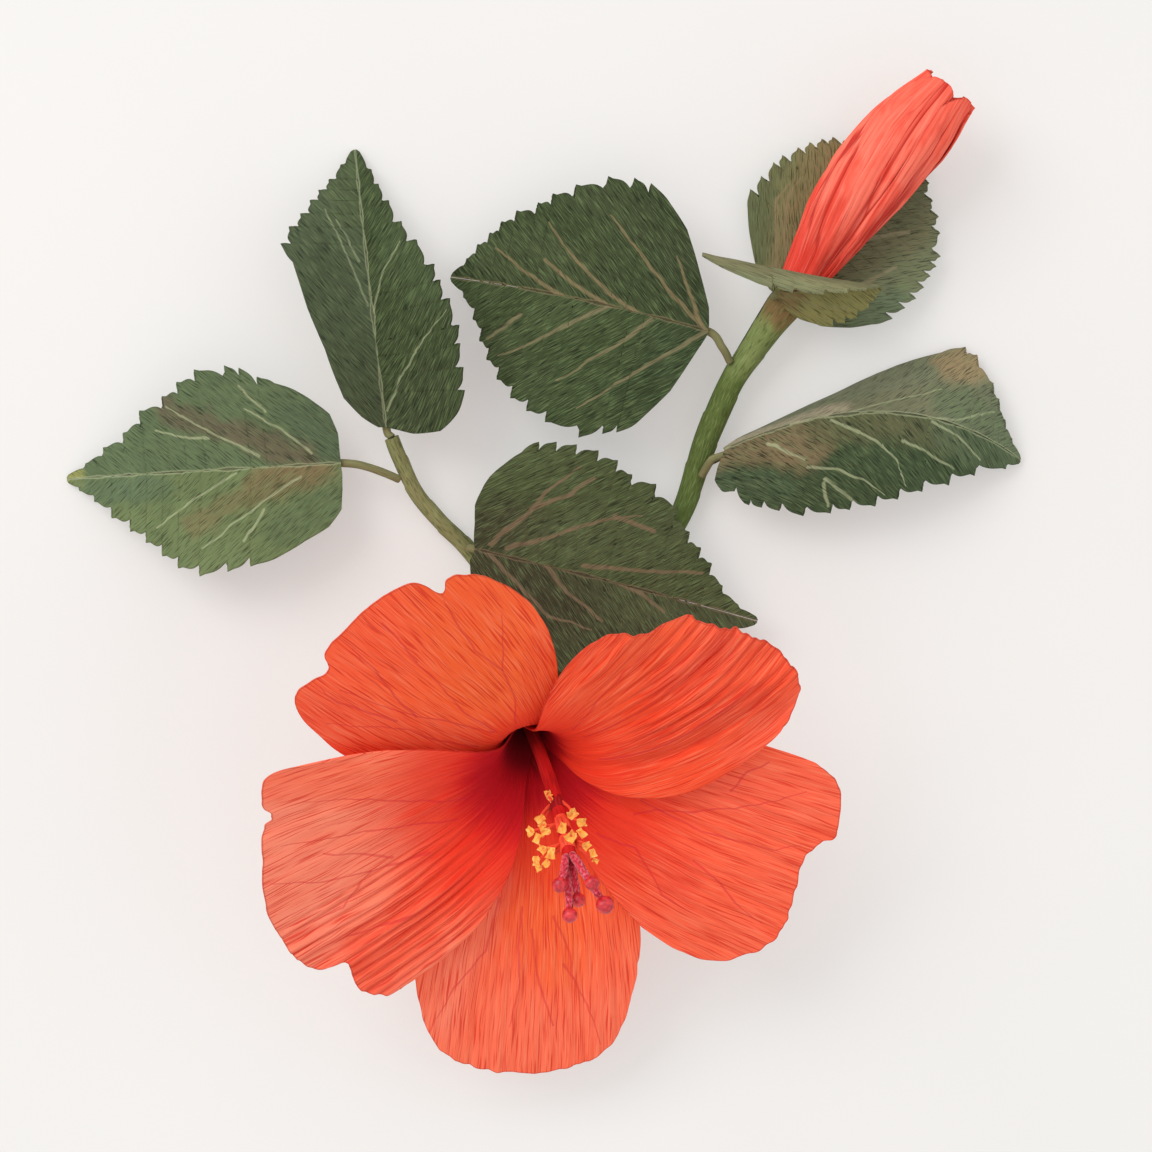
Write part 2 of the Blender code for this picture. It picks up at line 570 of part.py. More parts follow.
def make_calyx(shop):
    """The green cup under the petals, with five pointed lobes, and a ring of bracts."""
    green = paper("calyx_paper", (0.20, 0.28, 0.07))
    columns, rows = CALYX_LOBES * 4, 4

    def calyx_place(column, row):
        lobe = 0.5 + 0.5 * math.cos(math.tau * column / 4)
        length = CALYX_DEPTH + CALYX_CUP + CALYX_LOBE * lobe
        return calyx_point(length * row / rows - CALYX_DEPTH, 360.0 * column / columns)

    shop.sheet("flower_calyx", columns, rows, calyx_place, CALYX_PAPER, green, closed=True)

    bract_columns = BRACT_COUNT * 4
    spread = math.radians(BRACT_SPREAD)
    gap = CALYX_PAPER + GLUE_GAP + 0.1

    def bract_place(column, row):
        around = 360.0 * column / bract_columns
        foot = calyx_point(-CALYX_DEPTH, around)
        brim = calyx_point(BRACT_RING - CALYX_DEPTH, around)
        axis_foot = FLOWER_BASE - FLOWER_AXIS * CALYX_DEPTH
        axis_brim = FLOWER_BASE + FLOWER_AXIS * (BRACT_RING - CALYX_DEPTH)
        outward = (brim - axis_brim).normalized()
        if row == 0:
            return foot + (foot - axis_foot).normalized() * gap
        ring = brim + outward * gap
        if row == 1:
            return ring
        lobe = (0.5 + 0.5 * math.cos(math.tau * column / 4)) ** 1.5
        length = BRACT_LENGTH * (0.08 + 0.92 * lobe) * (row - 1) / 2
        return ring + (outward * math.sin(spread) + FLOWER_AXIS * math.cos(spread)) * length

    shop.sheet("flower_bracts", bract_columns, 3, bract_place, CALYX_PAPER, green, closed=True)


def make_stems(shop):
    """The main stem, the left twig and the flower's own stalk, each on its wire."""
    green = paper("stem_wrap", (0.16, 0.27, 0.05))
    wire = paper("stem_wire", (0.35, 0.35, 0.36), 0.4)
    for name, points, radii, wire_radius in (
            ("main_stem", MAIN_STEM, MAIN_STEM_RADII, MAIN_WIRE),
            ("left_twig", TWIG, TWIG_RADII, SIDE_WIRE)):
        route = [Vector(point) for point in points]
        shop.wrapped_stem(name, route, radii, wire_radius, green, wire)
    top = FLOWER_BASE - FLOWER_AXIS * GLUE_GAP
    neck = FLOWER_BASE - FLOWER_AXIS * CALYX_DEPTH
    route = [top, neck, *(Vector(point) for point in PEDICEL_ROUTE)]
    shop.wrapped_stem("flower_stalk", route, [PEDICEL_RADIUS] * len(route), SIDE_WIRE,
                      green, wire)


def leaf_frame(leaf):
    base, tip = Vector(leaf.base), Vector(leaf.tip)
    along = (tip - base).normalized()
    side = Vector((0, 0, 1)).cross(along).normalized()
    return base, tip, along, side, along.cross(side)


def midrib_point(leaf, place, below=0.0, shift=0.0):
    base, tip, _, side, face = leaf_frame(leaf)
    hump = 4.0 * place * (1.0 - place)
    return base.lerp(tip, place) + side * (leaf.bow * hump + shift) + face * (leaf.arch * hump - below)


def margin_corners(half):
    """The corners of a half blade's edge from base to tip, with a notch after each tooth."""
    corners = list(half.base)
    tips = [*half.tips, (1.0, LEAF_END_WIDTH)]
    for (place, width), (following, next_width) in zip(tips, tips[1:]):
        depth = TOOTH_DEPTH * min(width / FULL_TOOTH_WIDTH, 1.0)
        notch = mix(width, next_width, NOTCH_SHARE) - depth
        corners.append((place, width))
        corners.append((mix(place, following, NOTCH_SHARE), max(notch, LEAF_END_WIDTH)))
    corners.append(tips[-1])
    return corners


def half_blade_point(leaf, half, hand, place, width):
    """A point of a half blade, bent from its fold at the midrib to its margin."""
    base, tip, along, side, face = leaf_frame(leaf)
    turn = place ** 1.5
    fold = math.radians(mix(*half.fold, turn))
    margin = math.radians(mix(*half.margin, turn))
    bend = (margin - fold) / half.width
    if abs(bend) < 1e-5:
        out, rise = width * math.cos(fold), width * math.sin(fold)
    else:
        out = (math.sin(fold + bend * width) - math.sin(fold)) / bend
        rise = (math.cos(fold) - math.cos(fold + bend * width)) / bend
    rest = 1.0 - place
    lobe = half.lobe * rest ** 6 * width / half.width * 2.0
    return (midrib_point(leaf, place) + side * hand * out + face * rise - along * lobe
            + Vector(half.reach) * rest ** 1.3)


def make_half_blade(shop, name, leaf, half, hand, material):
    corners = margin_corners(half)
    rows = (0.0, 0.55, 1.0)

    def place_corner(column, row):
        place, edge = corners[column] if hand > 0 else corners[-1 - column]
        return half_blade_point(leaf, half, hand, place, mix(MIDRIB_GAP, edge, rows[row]))

    shop.sheet(name, len(corners) - 1, len(rows) - 1, place_corner, LEAF_PAPER, material)


def make_leaves(shop):
    """Seven leaves: two half blades on a wire that runs on as the leaf's stalk."""
    dark = paper("leaf_paper_dark", (0.05, 0.09, 0.035))
    olive = paper("leaf_paper_olive", (0.09, 0.12, 0.04))
    stalk_paper = paper("stalk_wrap", (0.24, 0.26, 0.10))
    for name, leaf in LEAVES.items():
        make_half_blade(shop, name + "_half_1", leaf, leaf.left, 1, dark)
        make_half_blade(shop, name + "_half_2", leaf, leaf.right, -1, olive)
        slope = math.radians(min(mix(leaf.right.fold[0], leaf.right.margin[0], WIRE_SLOPE), 0.0))
        seat = -math.tan(slope) * abs(leaf.wire_shift)
        clear = LEAF_PAPER / 2 + GLUE_GAP
        under = [midrib_point(leaf, MIDRIB_SHARE * n / 4,
                              seat + (clear + MIDRIB_RADIUS) / math.cos(slope), leaf.wire_shift)
                 for n in range(4, 0, -1)]
        foot = midrib_point(leaf, 0.0, seat + (clear + STALK_RADIUS) / math.cos(slope),
                            leaf.wire_shift)
        points = [*under, foot, *(Vector(point) for point in leaf.stalk)]
        route = smooth_route(points, 1)
        radii = [mix(MIDRIB_RADIUS, STALK_RADIUS, max(n - 2, 0) / 2) if n < 4 else STALK_RADIUS
                 for n in range(len(route))]
        shop.rod(name + "_stalk", route, radii, stalk_paper, 6)


def bud_frame():
    axis = (BUD_TIP - BUD_BASE).normalized()
    side = axis.cross(Vector((0, 0, 1))).normalized()
    return axis, side, side.cross(axis)


def bud_centre(share):
    _, side, _ = bud_frame()
    return BUD_BASE.lerp(BUD_TIP, share) - side * BUD_BOW * 4.0 * share * (1.0 - share)


def bud_point(around, share, inward):
    """A point of the pleated bud, at an angle round it and a share of its length."""
    _, side, face = bud_frame()
    angle = math.radians(around + BUD_TWIST * share)
    radius = read_curve(BUD_PROFILE, share) - inward
    return (bud_centre(share) + side * math.cos(angle) * radius
            + face * math.sin(angle) * radius * BUD_FLATNESS)


def make_bud(shop):
    """Five petals rolled round a core, each with one edge under its neighbour."""
    coral = paper("bud_paper", (0.90, 0.14, 0.09))
    columns, rows = 7, 5

    def bud_place(number):
        def place(column, row):
            across = column / columns
            share = row / rows
            around = 360.0 * number / BUD_PETALS + BUD_PETAL_SPAN * across
            pleat = BUD_PLEAT * (column % 2) * math.sin(math.pi * share)
            rise = mix(-BUD_LAYER, BUD_LAYER, across)
            return bud_point(around, share, pleat - rise)
        return place

    for number in range(BUD_PETALS):
        shop.sheet(f"bud_petal_{number + 1}", columns, rows, bud_place(number),
                   PETAL_PAPER, coral)
    inset = BUD_LAYER + PETAL_PAPER / 2 + GLUE_GAP
    steps = 5
    shares = [BUD_CORE_SHARE * n / steps for n in range(steps + 1)]
    route = [bud_centre(share) for share in shares]
    radii = [(read_curve(BUD_PROFILE, share) - inset) * BUD_FLATNESS * 0.95 for share in shares]
    shop.rod("bud_core", route, radii, paper("core_paper", (0.8, 0.75, 0.68)))


def main():
    clear_objects()
    shop = Workshop()
    make_petals(shop)
    make_column(shop)
    make_stamens(shop)
    make_styles(shop)
    make_calyx(shop)
    make_stems(shop)
    make_leaves(shop)
    make_bud(shop)


main()
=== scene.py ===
"""The look of a crepe-paper hibiscus spray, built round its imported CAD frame: crimped and
painted paper petals, serrated leaves with brushed veins, wrapped stems, a rolled bud, and
the table, light and camera. Lengths inside the functions are millimetres."""
import math
from collections import namedtuple
from itertools import zip_longest

import bmesh
import bpy
import numpy as np
from bpy.props import FloatProperty, FloatVectorProperty, PointerProperty
from mathutils import Matrix, Vector


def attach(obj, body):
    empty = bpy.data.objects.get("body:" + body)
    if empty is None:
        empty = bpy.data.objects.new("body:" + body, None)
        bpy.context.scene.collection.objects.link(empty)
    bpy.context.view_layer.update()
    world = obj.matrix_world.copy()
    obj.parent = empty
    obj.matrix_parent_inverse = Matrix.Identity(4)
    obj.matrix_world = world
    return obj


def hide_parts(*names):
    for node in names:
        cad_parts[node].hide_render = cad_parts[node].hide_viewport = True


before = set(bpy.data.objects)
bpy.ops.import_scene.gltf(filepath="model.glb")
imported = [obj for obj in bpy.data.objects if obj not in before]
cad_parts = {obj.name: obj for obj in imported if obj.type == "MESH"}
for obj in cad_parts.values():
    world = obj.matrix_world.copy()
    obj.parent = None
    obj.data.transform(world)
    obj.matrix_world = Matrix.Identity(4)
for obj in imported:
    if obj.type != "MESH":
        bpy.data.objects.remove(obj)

bl_info = {
    "name": "Crepe Paper Hibiscus Spray",
    "version": (1, 0, 0),
    "blender": (4, 5, 0),
    "location": "3D View > Sidebar > Hibiscus",
    "description": "Dresses a crepe-paper hibiscus spray piece by piece and lights it on a table",
    "category": "Add Mesh",
}

MM = 0.001
MAP_UNIT = 100.0
WELD_DISTANCE = 0.004
WHITE = (1.0, 1.0, 1.0, 1.0)
BLACK = (0.0, 0.0, 0.0, 1.0)
UP = np.array((0.0, 0.0, 1.0))
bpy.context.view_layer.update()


def ink(red, green, blue):
    """A colour written as screen values from 0 to 255, as Blender's linear values."""
    def linear(value):
        value = value / 255.0
        return value / 12.92 if value <= 0.04045 else ((value + 0.055) / 1.055) ** 2.4
    return (linear(red), linear(green), linear(blue), 1.0)


# Flower: the same formulas as the part's source
FLOWER_BASE = np.array((-5.3, -34.4, 26.0))
FLOWER_AXIS = np.array((0.157, -0.537, 0.829)) / np.linalg.norm((0.157, -0.537, 0.829))
THROAT_RADIUS = 2.4
THROAT_ANGLE = 14.0
FLARE_ANGLE = 70.0
RIM_ANGLE = 80.0
THROAT_LENGTH = 11.0
FLARE_END = 38.0
RIM_LENGTH = 85.0
TRUMPET_REACH = 110.0
TRUMPET_STEP = 0.25
BASE_LAYER = 0.4
OPEN_LAYER = 0.95
LAYER_START = 15.0
LAYER_LENGTH = 46.0
UNROLL = 0.85
GATHER = 25.0
LIFT_RISE = (14.0, 36.0)
RELIEF_RISE = (8.0, 40.0)
RAGGED_EDGE = 0.35
RAGGED_TEETH = 40
FRILL_WAVES = 9
FOLD_RISE = 25.0
GATHER_RISE = 18.0
GATHER_MARGIN = 3.0
MARGIN_WIDTH_SHARE = 0.8
# Near the throat an edge that lies under its neighbour tucks further under it, and one that lies
# over reaches further on, as (layer, angle, length along the petal, spread)
EDGE_SHIFTS = ((-1, 18.0, 18.0, 12.0), (1, 26.0, 11.0, 7.0))
# Uneven ridges of the paper, as (height, width, length, shift, seed)
GATHER_WANDER = ((0.45, 7.0, 30.0, 0.0, 9),)
LEAF_CRIMPS = ((0.10, 1.3, 14.0, 0.0, 0),)
LEAF_PLEATS = ((0.22, 4.0, 30.0, 0.0, 4),)
STEM_CRIMPS = ((0.10, 0.9, 11.0, 0.0, 0), (0.14, 2.4, 22.0, 0.0, 2))

Petal = namedtuple("Petal", "rim base bulge layer lift curl")
PETALS = {
    "petal_top_left": Petal(
        ((94, 62), (100, 74), (108, 84), (114, 87), (117, 83), (121, 90), (134, 89),
         (142, 87), (145, 83), (151, 86), (156, 83), (168, 63)),
        (86, 178), (-6, 3), (-1, -1), (0, 0), -0.8),
    "petal_top_right": Petal(
        ((84, 60), (77, 67), (68, 71), (64, 79), (61, 79), (53, 82), (45, 85), (38, 86),
         (32, 84), (27, 80), (22, 75), (17, 68)),
        (100, 0), (4, -16), (1, 1), (1.5, 4.0), 2),
    "petal_right": Petal(
        ((13, 74), (9, 84), (3, 88), (-7, 89), (-9, 86), (-15, 84), (-25, 87),
         (-31, 89), (-39, 87), (-47, 80), (-54, 64)),
        (36, -60), (7, -3), (-1, 1), (0, 2.0), 0),
    "petal_bottom": Petal(
        ((-57, 68), (-63, 78), (-69, 89), (-75, 95), (-82, 97), (-90, 97), (-98, 96),
         (-104, 93), (-110, 86), (-118, 74)),
        (-42, -130), (8, -6), (-1, -1), (0, 0), -1.0),
    "petal_left": Petal(
        ((241, 74), (237, 81), (231, 83), (224, 80), (220, 87), (214, 88), (203, 88),
         (192, 86), (184, 85), (180, 83), (176, 86), (169, 85), (164, 68)),
        (254, 152), (10, -6), (1, 1), (3.5, 1.5), 2),
}

# How each petal is crimped and painted. The grain runs towards an angle round the flower and
# sweeps on by some degrees at the rim. Crimp, pleat and frill are heights in mm. A fold is (place
# across the grain, half width, height, length along the grain where it starts). Gathers are rows
# of small folds, as (from, to, pitch, height, start). The throat's red ends at its length. A wash
# is (from, to, width, colour, strength) and a vein has up to four points, both as (angle, length).
Look = namedtuple(
    "Look", "grain sweep crimp pleat frill folds gathers throat inner outer washes veins")
LOOKS = {
    "petal_top_left": Look(
        134, 0, 0.10, 0.22, 0.5, ((-26, 5, 0.5, 30), (14, 6, -0.4, 30)), (), 25,
        ink(255, 98, 48), ink(255, 94, 56),
        (((112, 52), (112, 80), 22, ink(247, 104, 40), 0.55),
         ((160, 40), (158, 80), 16, ink(240, 84, 58), 0.6),
         ((100, 30), (96, 58), 7, ink(240, 78, 36), 0.6)),
        (((134, 30), (135, 44), (132, 55), (131, 68)), ((131, 68), (130, 74), (130, 84)),
         ((115, 29), (109, 41), (110, 52), (106, 71)), ((110, 52), (116, 62), (117, 76), (117, 81)),
         ((136, 31), (143, 44), (147, 56), (148, 77)), ((147, 54), (143, 64), (139, 74), (138, 83)),
         ((154, 32), (155, 44), (153, 54), (157, 75)), ((151, 58), (151, 69), (151, 76), (149, 82)))),
    "petal_top_right": Look(
        40, 12, 0.16, 0.75, 0.9,
        ((26, 4, 0.8, 34), (19, 2, -0.5, 40), (8, 2.6, 0.9, 45), (2, 1.6, -0.9, 45),
         (-4, 2.4, 0.7, 40), (-9, 1.6, -0.7, 36), (-14, 3, 0.8, 30)),
        ((-22, 30, 3.6, 0.32, 34),), 27,
        ink(246, 76, 40), ink(252, 92, 58),
        (((70, 40), (66, 70), 14, ink(244, 96, 54), 0.55),
         # Painted shade: the dark band where the lower edge curls down onto the right petal.
         ((22, 40), (34, 74), 9, ink(206, 56, 34), 0.6),
         ((18, 66), (30, 84), 6, ink(246, 96, 70), 0.6),
         ((50, 60), (52, 84), 10, ink(240, 92, 66), 0.4)),
        (((60, 30), (66, 44), (66, 56), (64, 66)), ((44, 30), (46, 46), (49, 62), (53, 78)),
         ((20, 32), (26, 48), (33, 62), (39, 80)))),
    "petal_right": Look(
        -18, 0, 0.14, 0.42, 0.8, ((14, 3, -0.4, 40), (-4, 4, 0.5, 40), (-24, 4, 0.5, 35)),
        ((-34, 20, 5.2, 0.20, 36),), 42,
        ink(255, 90, 58), ink(255, 104, 72),
        (((-2, 40), (2, 80), 14, ink(249, 102, 76), 0.6),
         ((-30, 30), (-34, 60), 9, ink(236, 66, 48), 0.5)),
        (((-22, 42), (-15, 46), (-5, 64), (3, 80)), ((1, 62), (8, 66), (11, 71)),
         ((-44, 38), (-36, 47), (-42, 60), (-40, 68)), ((-27, 60), (-28, 67), (-31, 75), (-32, 84)),
         ((-13, 42), (-16, 58), (-14, 76), (-11, 82)))),
    "petal_bottom": Look(
        -89, 0, 0.13, 0.28, 0.5, ((10, 3, 0.3, 50), (-14, 3, -0.3, 50)),
        ((-30, 30, 3.4, 0.10, 50),), 38,
        ink(255, 94, 48), ink(255, 114, 82),
        (((-80, 48), (-80, 66), 14, ink(247, 100, 46), 0.6),
         ((-108, 46), (-108, 84), 10, ink(254, 128, 100), 0.75)),
        (((-92, 52), (-92, 62), (-91, 72), (-92, 84)), ((-102, 50), (-102, 64), (-107, 75), (-108, 84)),
         ((-79, 68), (-77, 72), (-75, 80), (-74, 92)), ((-80, 55), (-77, 65), (-77, 72)),
         ((-88, 58), (-86, 72), (-83, 84)))),
    "petal_left": Look(
        204, 0, 0.15, 0.34, 0.8,
        ((14, 2.6, 0.7, 34), (19, 2, -0.6, 34), (24, 2.6, 0.8, 34), (30, 2.2, -0.5, 34),
         (5, 4, -0.3, 34), (-22, 4, 0.4, 40)), ((4, 40, 3.0, 0.42, 30),), 46,
        ink(255, 118, 86), ink(255, 142, 114),
        # A deeper red along the creased lower side, partly the paint's own colour and partly painted
        # shade.
        (((234, 40), (228, 84), 13, ink(238, 74, 44), 0.75),
         ((196, 50), (196, 84), 24, ink(255, 140, 112), 0.7),
         ((170, 56), (172, 84), 9, ink(255, 112, 78), 0.6),
         # A deeper red strip at the lower rim, partly the paint's own colour and partly painted shade.
         ((240, 66), (236, 82), 6, ink(240, 88, 60), 0.5)),
        (((202, 33), (185, 48), (179, 59), (177, 76)), ((210, 38), (198, 48), (192, 60), (188, 81)),
         ((215, 48), (211, 55), (202, 73), (196, 85)), ((207, 56), (199, 63), (194, 71)),
         ((207, 62), (209, 66), (212, 72), (211, 80)), ((234, 48), (230, 58), (225, 66), (216, 86)))),
}

# Stamen column and what it carries
COLUMN_TIP = np.array((6.7, -67.4, 72.0))
COLUMN_FOOT_RADIUS = 1.5
COLUMN_TIP_RADIUS = 1.7
COLUMN_BOW = 1.2
STYLE_RING = 1.15
STYLE_RADIUS = 0.45
STYLE_SWELL = 1.95
STYLE_RISE = 1.5
STYLE_SPREAD = 0.5
ELBOW_RISE = 0.8
GLUE_GAP = 0.3
STIGMAS = (
    ((4.4, -73.3, 80.0), 1.8),
    ((11.8, -72.7, 82.5), 1.7),
    ((8.6, -77.1, 76.0), 1.7),
    ((6.7, -80.2, 81.0), 1.8),
    ((14.8, -77.9, 80.0), 2.1),
)
BEAD_DENT = 0.03
COLLAR_PAPER = 0.2
COLLAR_REACH = 2.0
FRINGE_SPREAD = 0.035
FILAMENT_RADII = (0.42, 0.30, 0.24)
FILAMENT_END = 0.5
ANTHER_WIDTH = 1.5
ANTHER_LENGTH = 2.0
ANTHER_FOLD = 0.9
ANTHER_CREASE = 0.45
ANTHER_PAPER = 0.2
# Anthers on each fringe: where the folded paper bit is, how far it is turned, and its size
Anther = namedtuple("Anther", "place turn size")
FRINGES = {
    "stamen_fringe_lower": (0.66, (
        Anther((1.5, -53.6, 54.8), 20, 0.75), Anther((1.9, -54.4, 56.2), 75, 0.7),
        Anther((2.4, -55.2, 56.6), 130, 0.7), Anther((-0.2, -59.3, 61.2), 35, 1.15),
        Anther((0.6, -60.2, 60.4), 110, 0.9), Anther((7.2, -58.1, 62.8), 40, 1.35))),
    "stamen_fringe_middle": (0.79, (
        Anther((9.3, -60.0, 65.6), 10, 1.2), Anther((5.0, -61.2, 66.6), 80, 1.35),
        Anther((-2.5, -62.0, 63.9), 140, 1.1), Anther((-0.8, -63.6, 66.1), 65, 1.15),
        Anther((1.1, -61.9, 66.0), 15, 1.15), Anther((0.4, -60.6, 64.2), 50, 0.9))),
    "stamen_fringe_upper": (0.92, (
        Anther((6.9, -62.9, 69.6), 55, 1.45), Anther((9.4, -62.2, 68.9), 125, 1.2),
        Anther((10.5, -64.9, 71.4), 30, 1.15), Anther((11.9, -66.6, 72.6), 105, 1.0),
        Anther((2.4, -66.6, 71.9), 85, 1.35), Anther((0.4, -65.8, 69.9), 160, 1.15),
        Anther((-0.9, -68.4, 71.2), 95, 1.1), Anther((1.3, -68.9, 72.8), 40, 0.9),
        Anther((12.6, -68.3, 72.4), 150, 0.7), Anther((-0.4, -70.0, 72.0), 20, 0.8))),
}

# Calyx and bracts
PETAL_PAPER = 0.4
CALYX_PAPER = 0.5
PEDICEL_RADIUS = 1.8
CALYX_DEPTH = 9.0
CALYX_LOBES = 5
CALYX_CUP = 6.0
CALYX_GAP = GLUE_GAP + 0.1
CALYX_LOBE = 11.0
BRACT_COUNT = 6
BRACT_RING = 3.0
BRACT_LENGTH = 11.0
BRACT_SPREAD = 50.0
BRACT_STEP = 4.0

# Stems: points of the centre line, and the radius of the wrap along it. A wrap's ends are round,
# or folded in onto the wire over a few rows of the mesh
MAIN_STEM = ((4.1, -110.5, 2.6), (5.6, -88.0, 2.6), (6.6, -65.6, 2.5), (8.6, -43.1, 2.5),
             (14.1, -23.2, 2.5), (24.1, -4.5, 2.7), (34.5, 13.7, 3.4), (40.5, 31.6, 4.6),
             (47.1, 46.4, 6.5), (53.7, 56.3, 8.2), (59.1, 64.1, 10.0), (62.4, 68.2, 11.2))
MAIN_STEM_RADII = (2.6, 2.5, 2.5, 2.5, 2.5, 2.6, 2.7, 2.9, 3.0, 3.5, 4.3, 4.0)
TWIG = ((3.7, -45.0, 2.9), (4.9, -38.0, 2.9), (-1.2, -26.0, 2.6), (-8.8, -9.5, 2.3),
        (-18.6, 4.2, 2.8), (-26.0, 11.7, 4.0), (-31.9, 19.1, 5.5), (-35.8, 27.5, 7.5),
        (-37.5, 32.0, 8.5))
TWIG_RADII = (1.8, 1.9, 2.0, 2.1, 2.1, 2.0, 1.9, 1.8, 1.7)
PEDICEL_ROUTE = ((-8.2, -25.8, 12.6), (-6.2, -23.6, 9.6), (-1.6, -24.0, 8.6),
                 (3.4, -27.0, 9.0), (7.5, -29.9, 7.6), (10.0, -30.8, 4.75))
MAIN_BORE = 0.95
SIDE_BORE = 0.65
STALK_RADIUS = 1.0
MIDRIB_RADIUS = 0.5
ROD_SAMPLES = 400
CAP_ROWS = 3
CAP_ROUND = 0.35
CAP_TIP = 0.05
BORE_ROWS = 5
BORE_STEPS = (0.0, 0.2, 0.6, 1.0)
BORE_DEPTH = 3.0
WRAP_PITCH = 13.0
WRAP_STEP = 0.22
MIDRIB_SHARE = 0.72
WIRE_SLOPE = 0.5

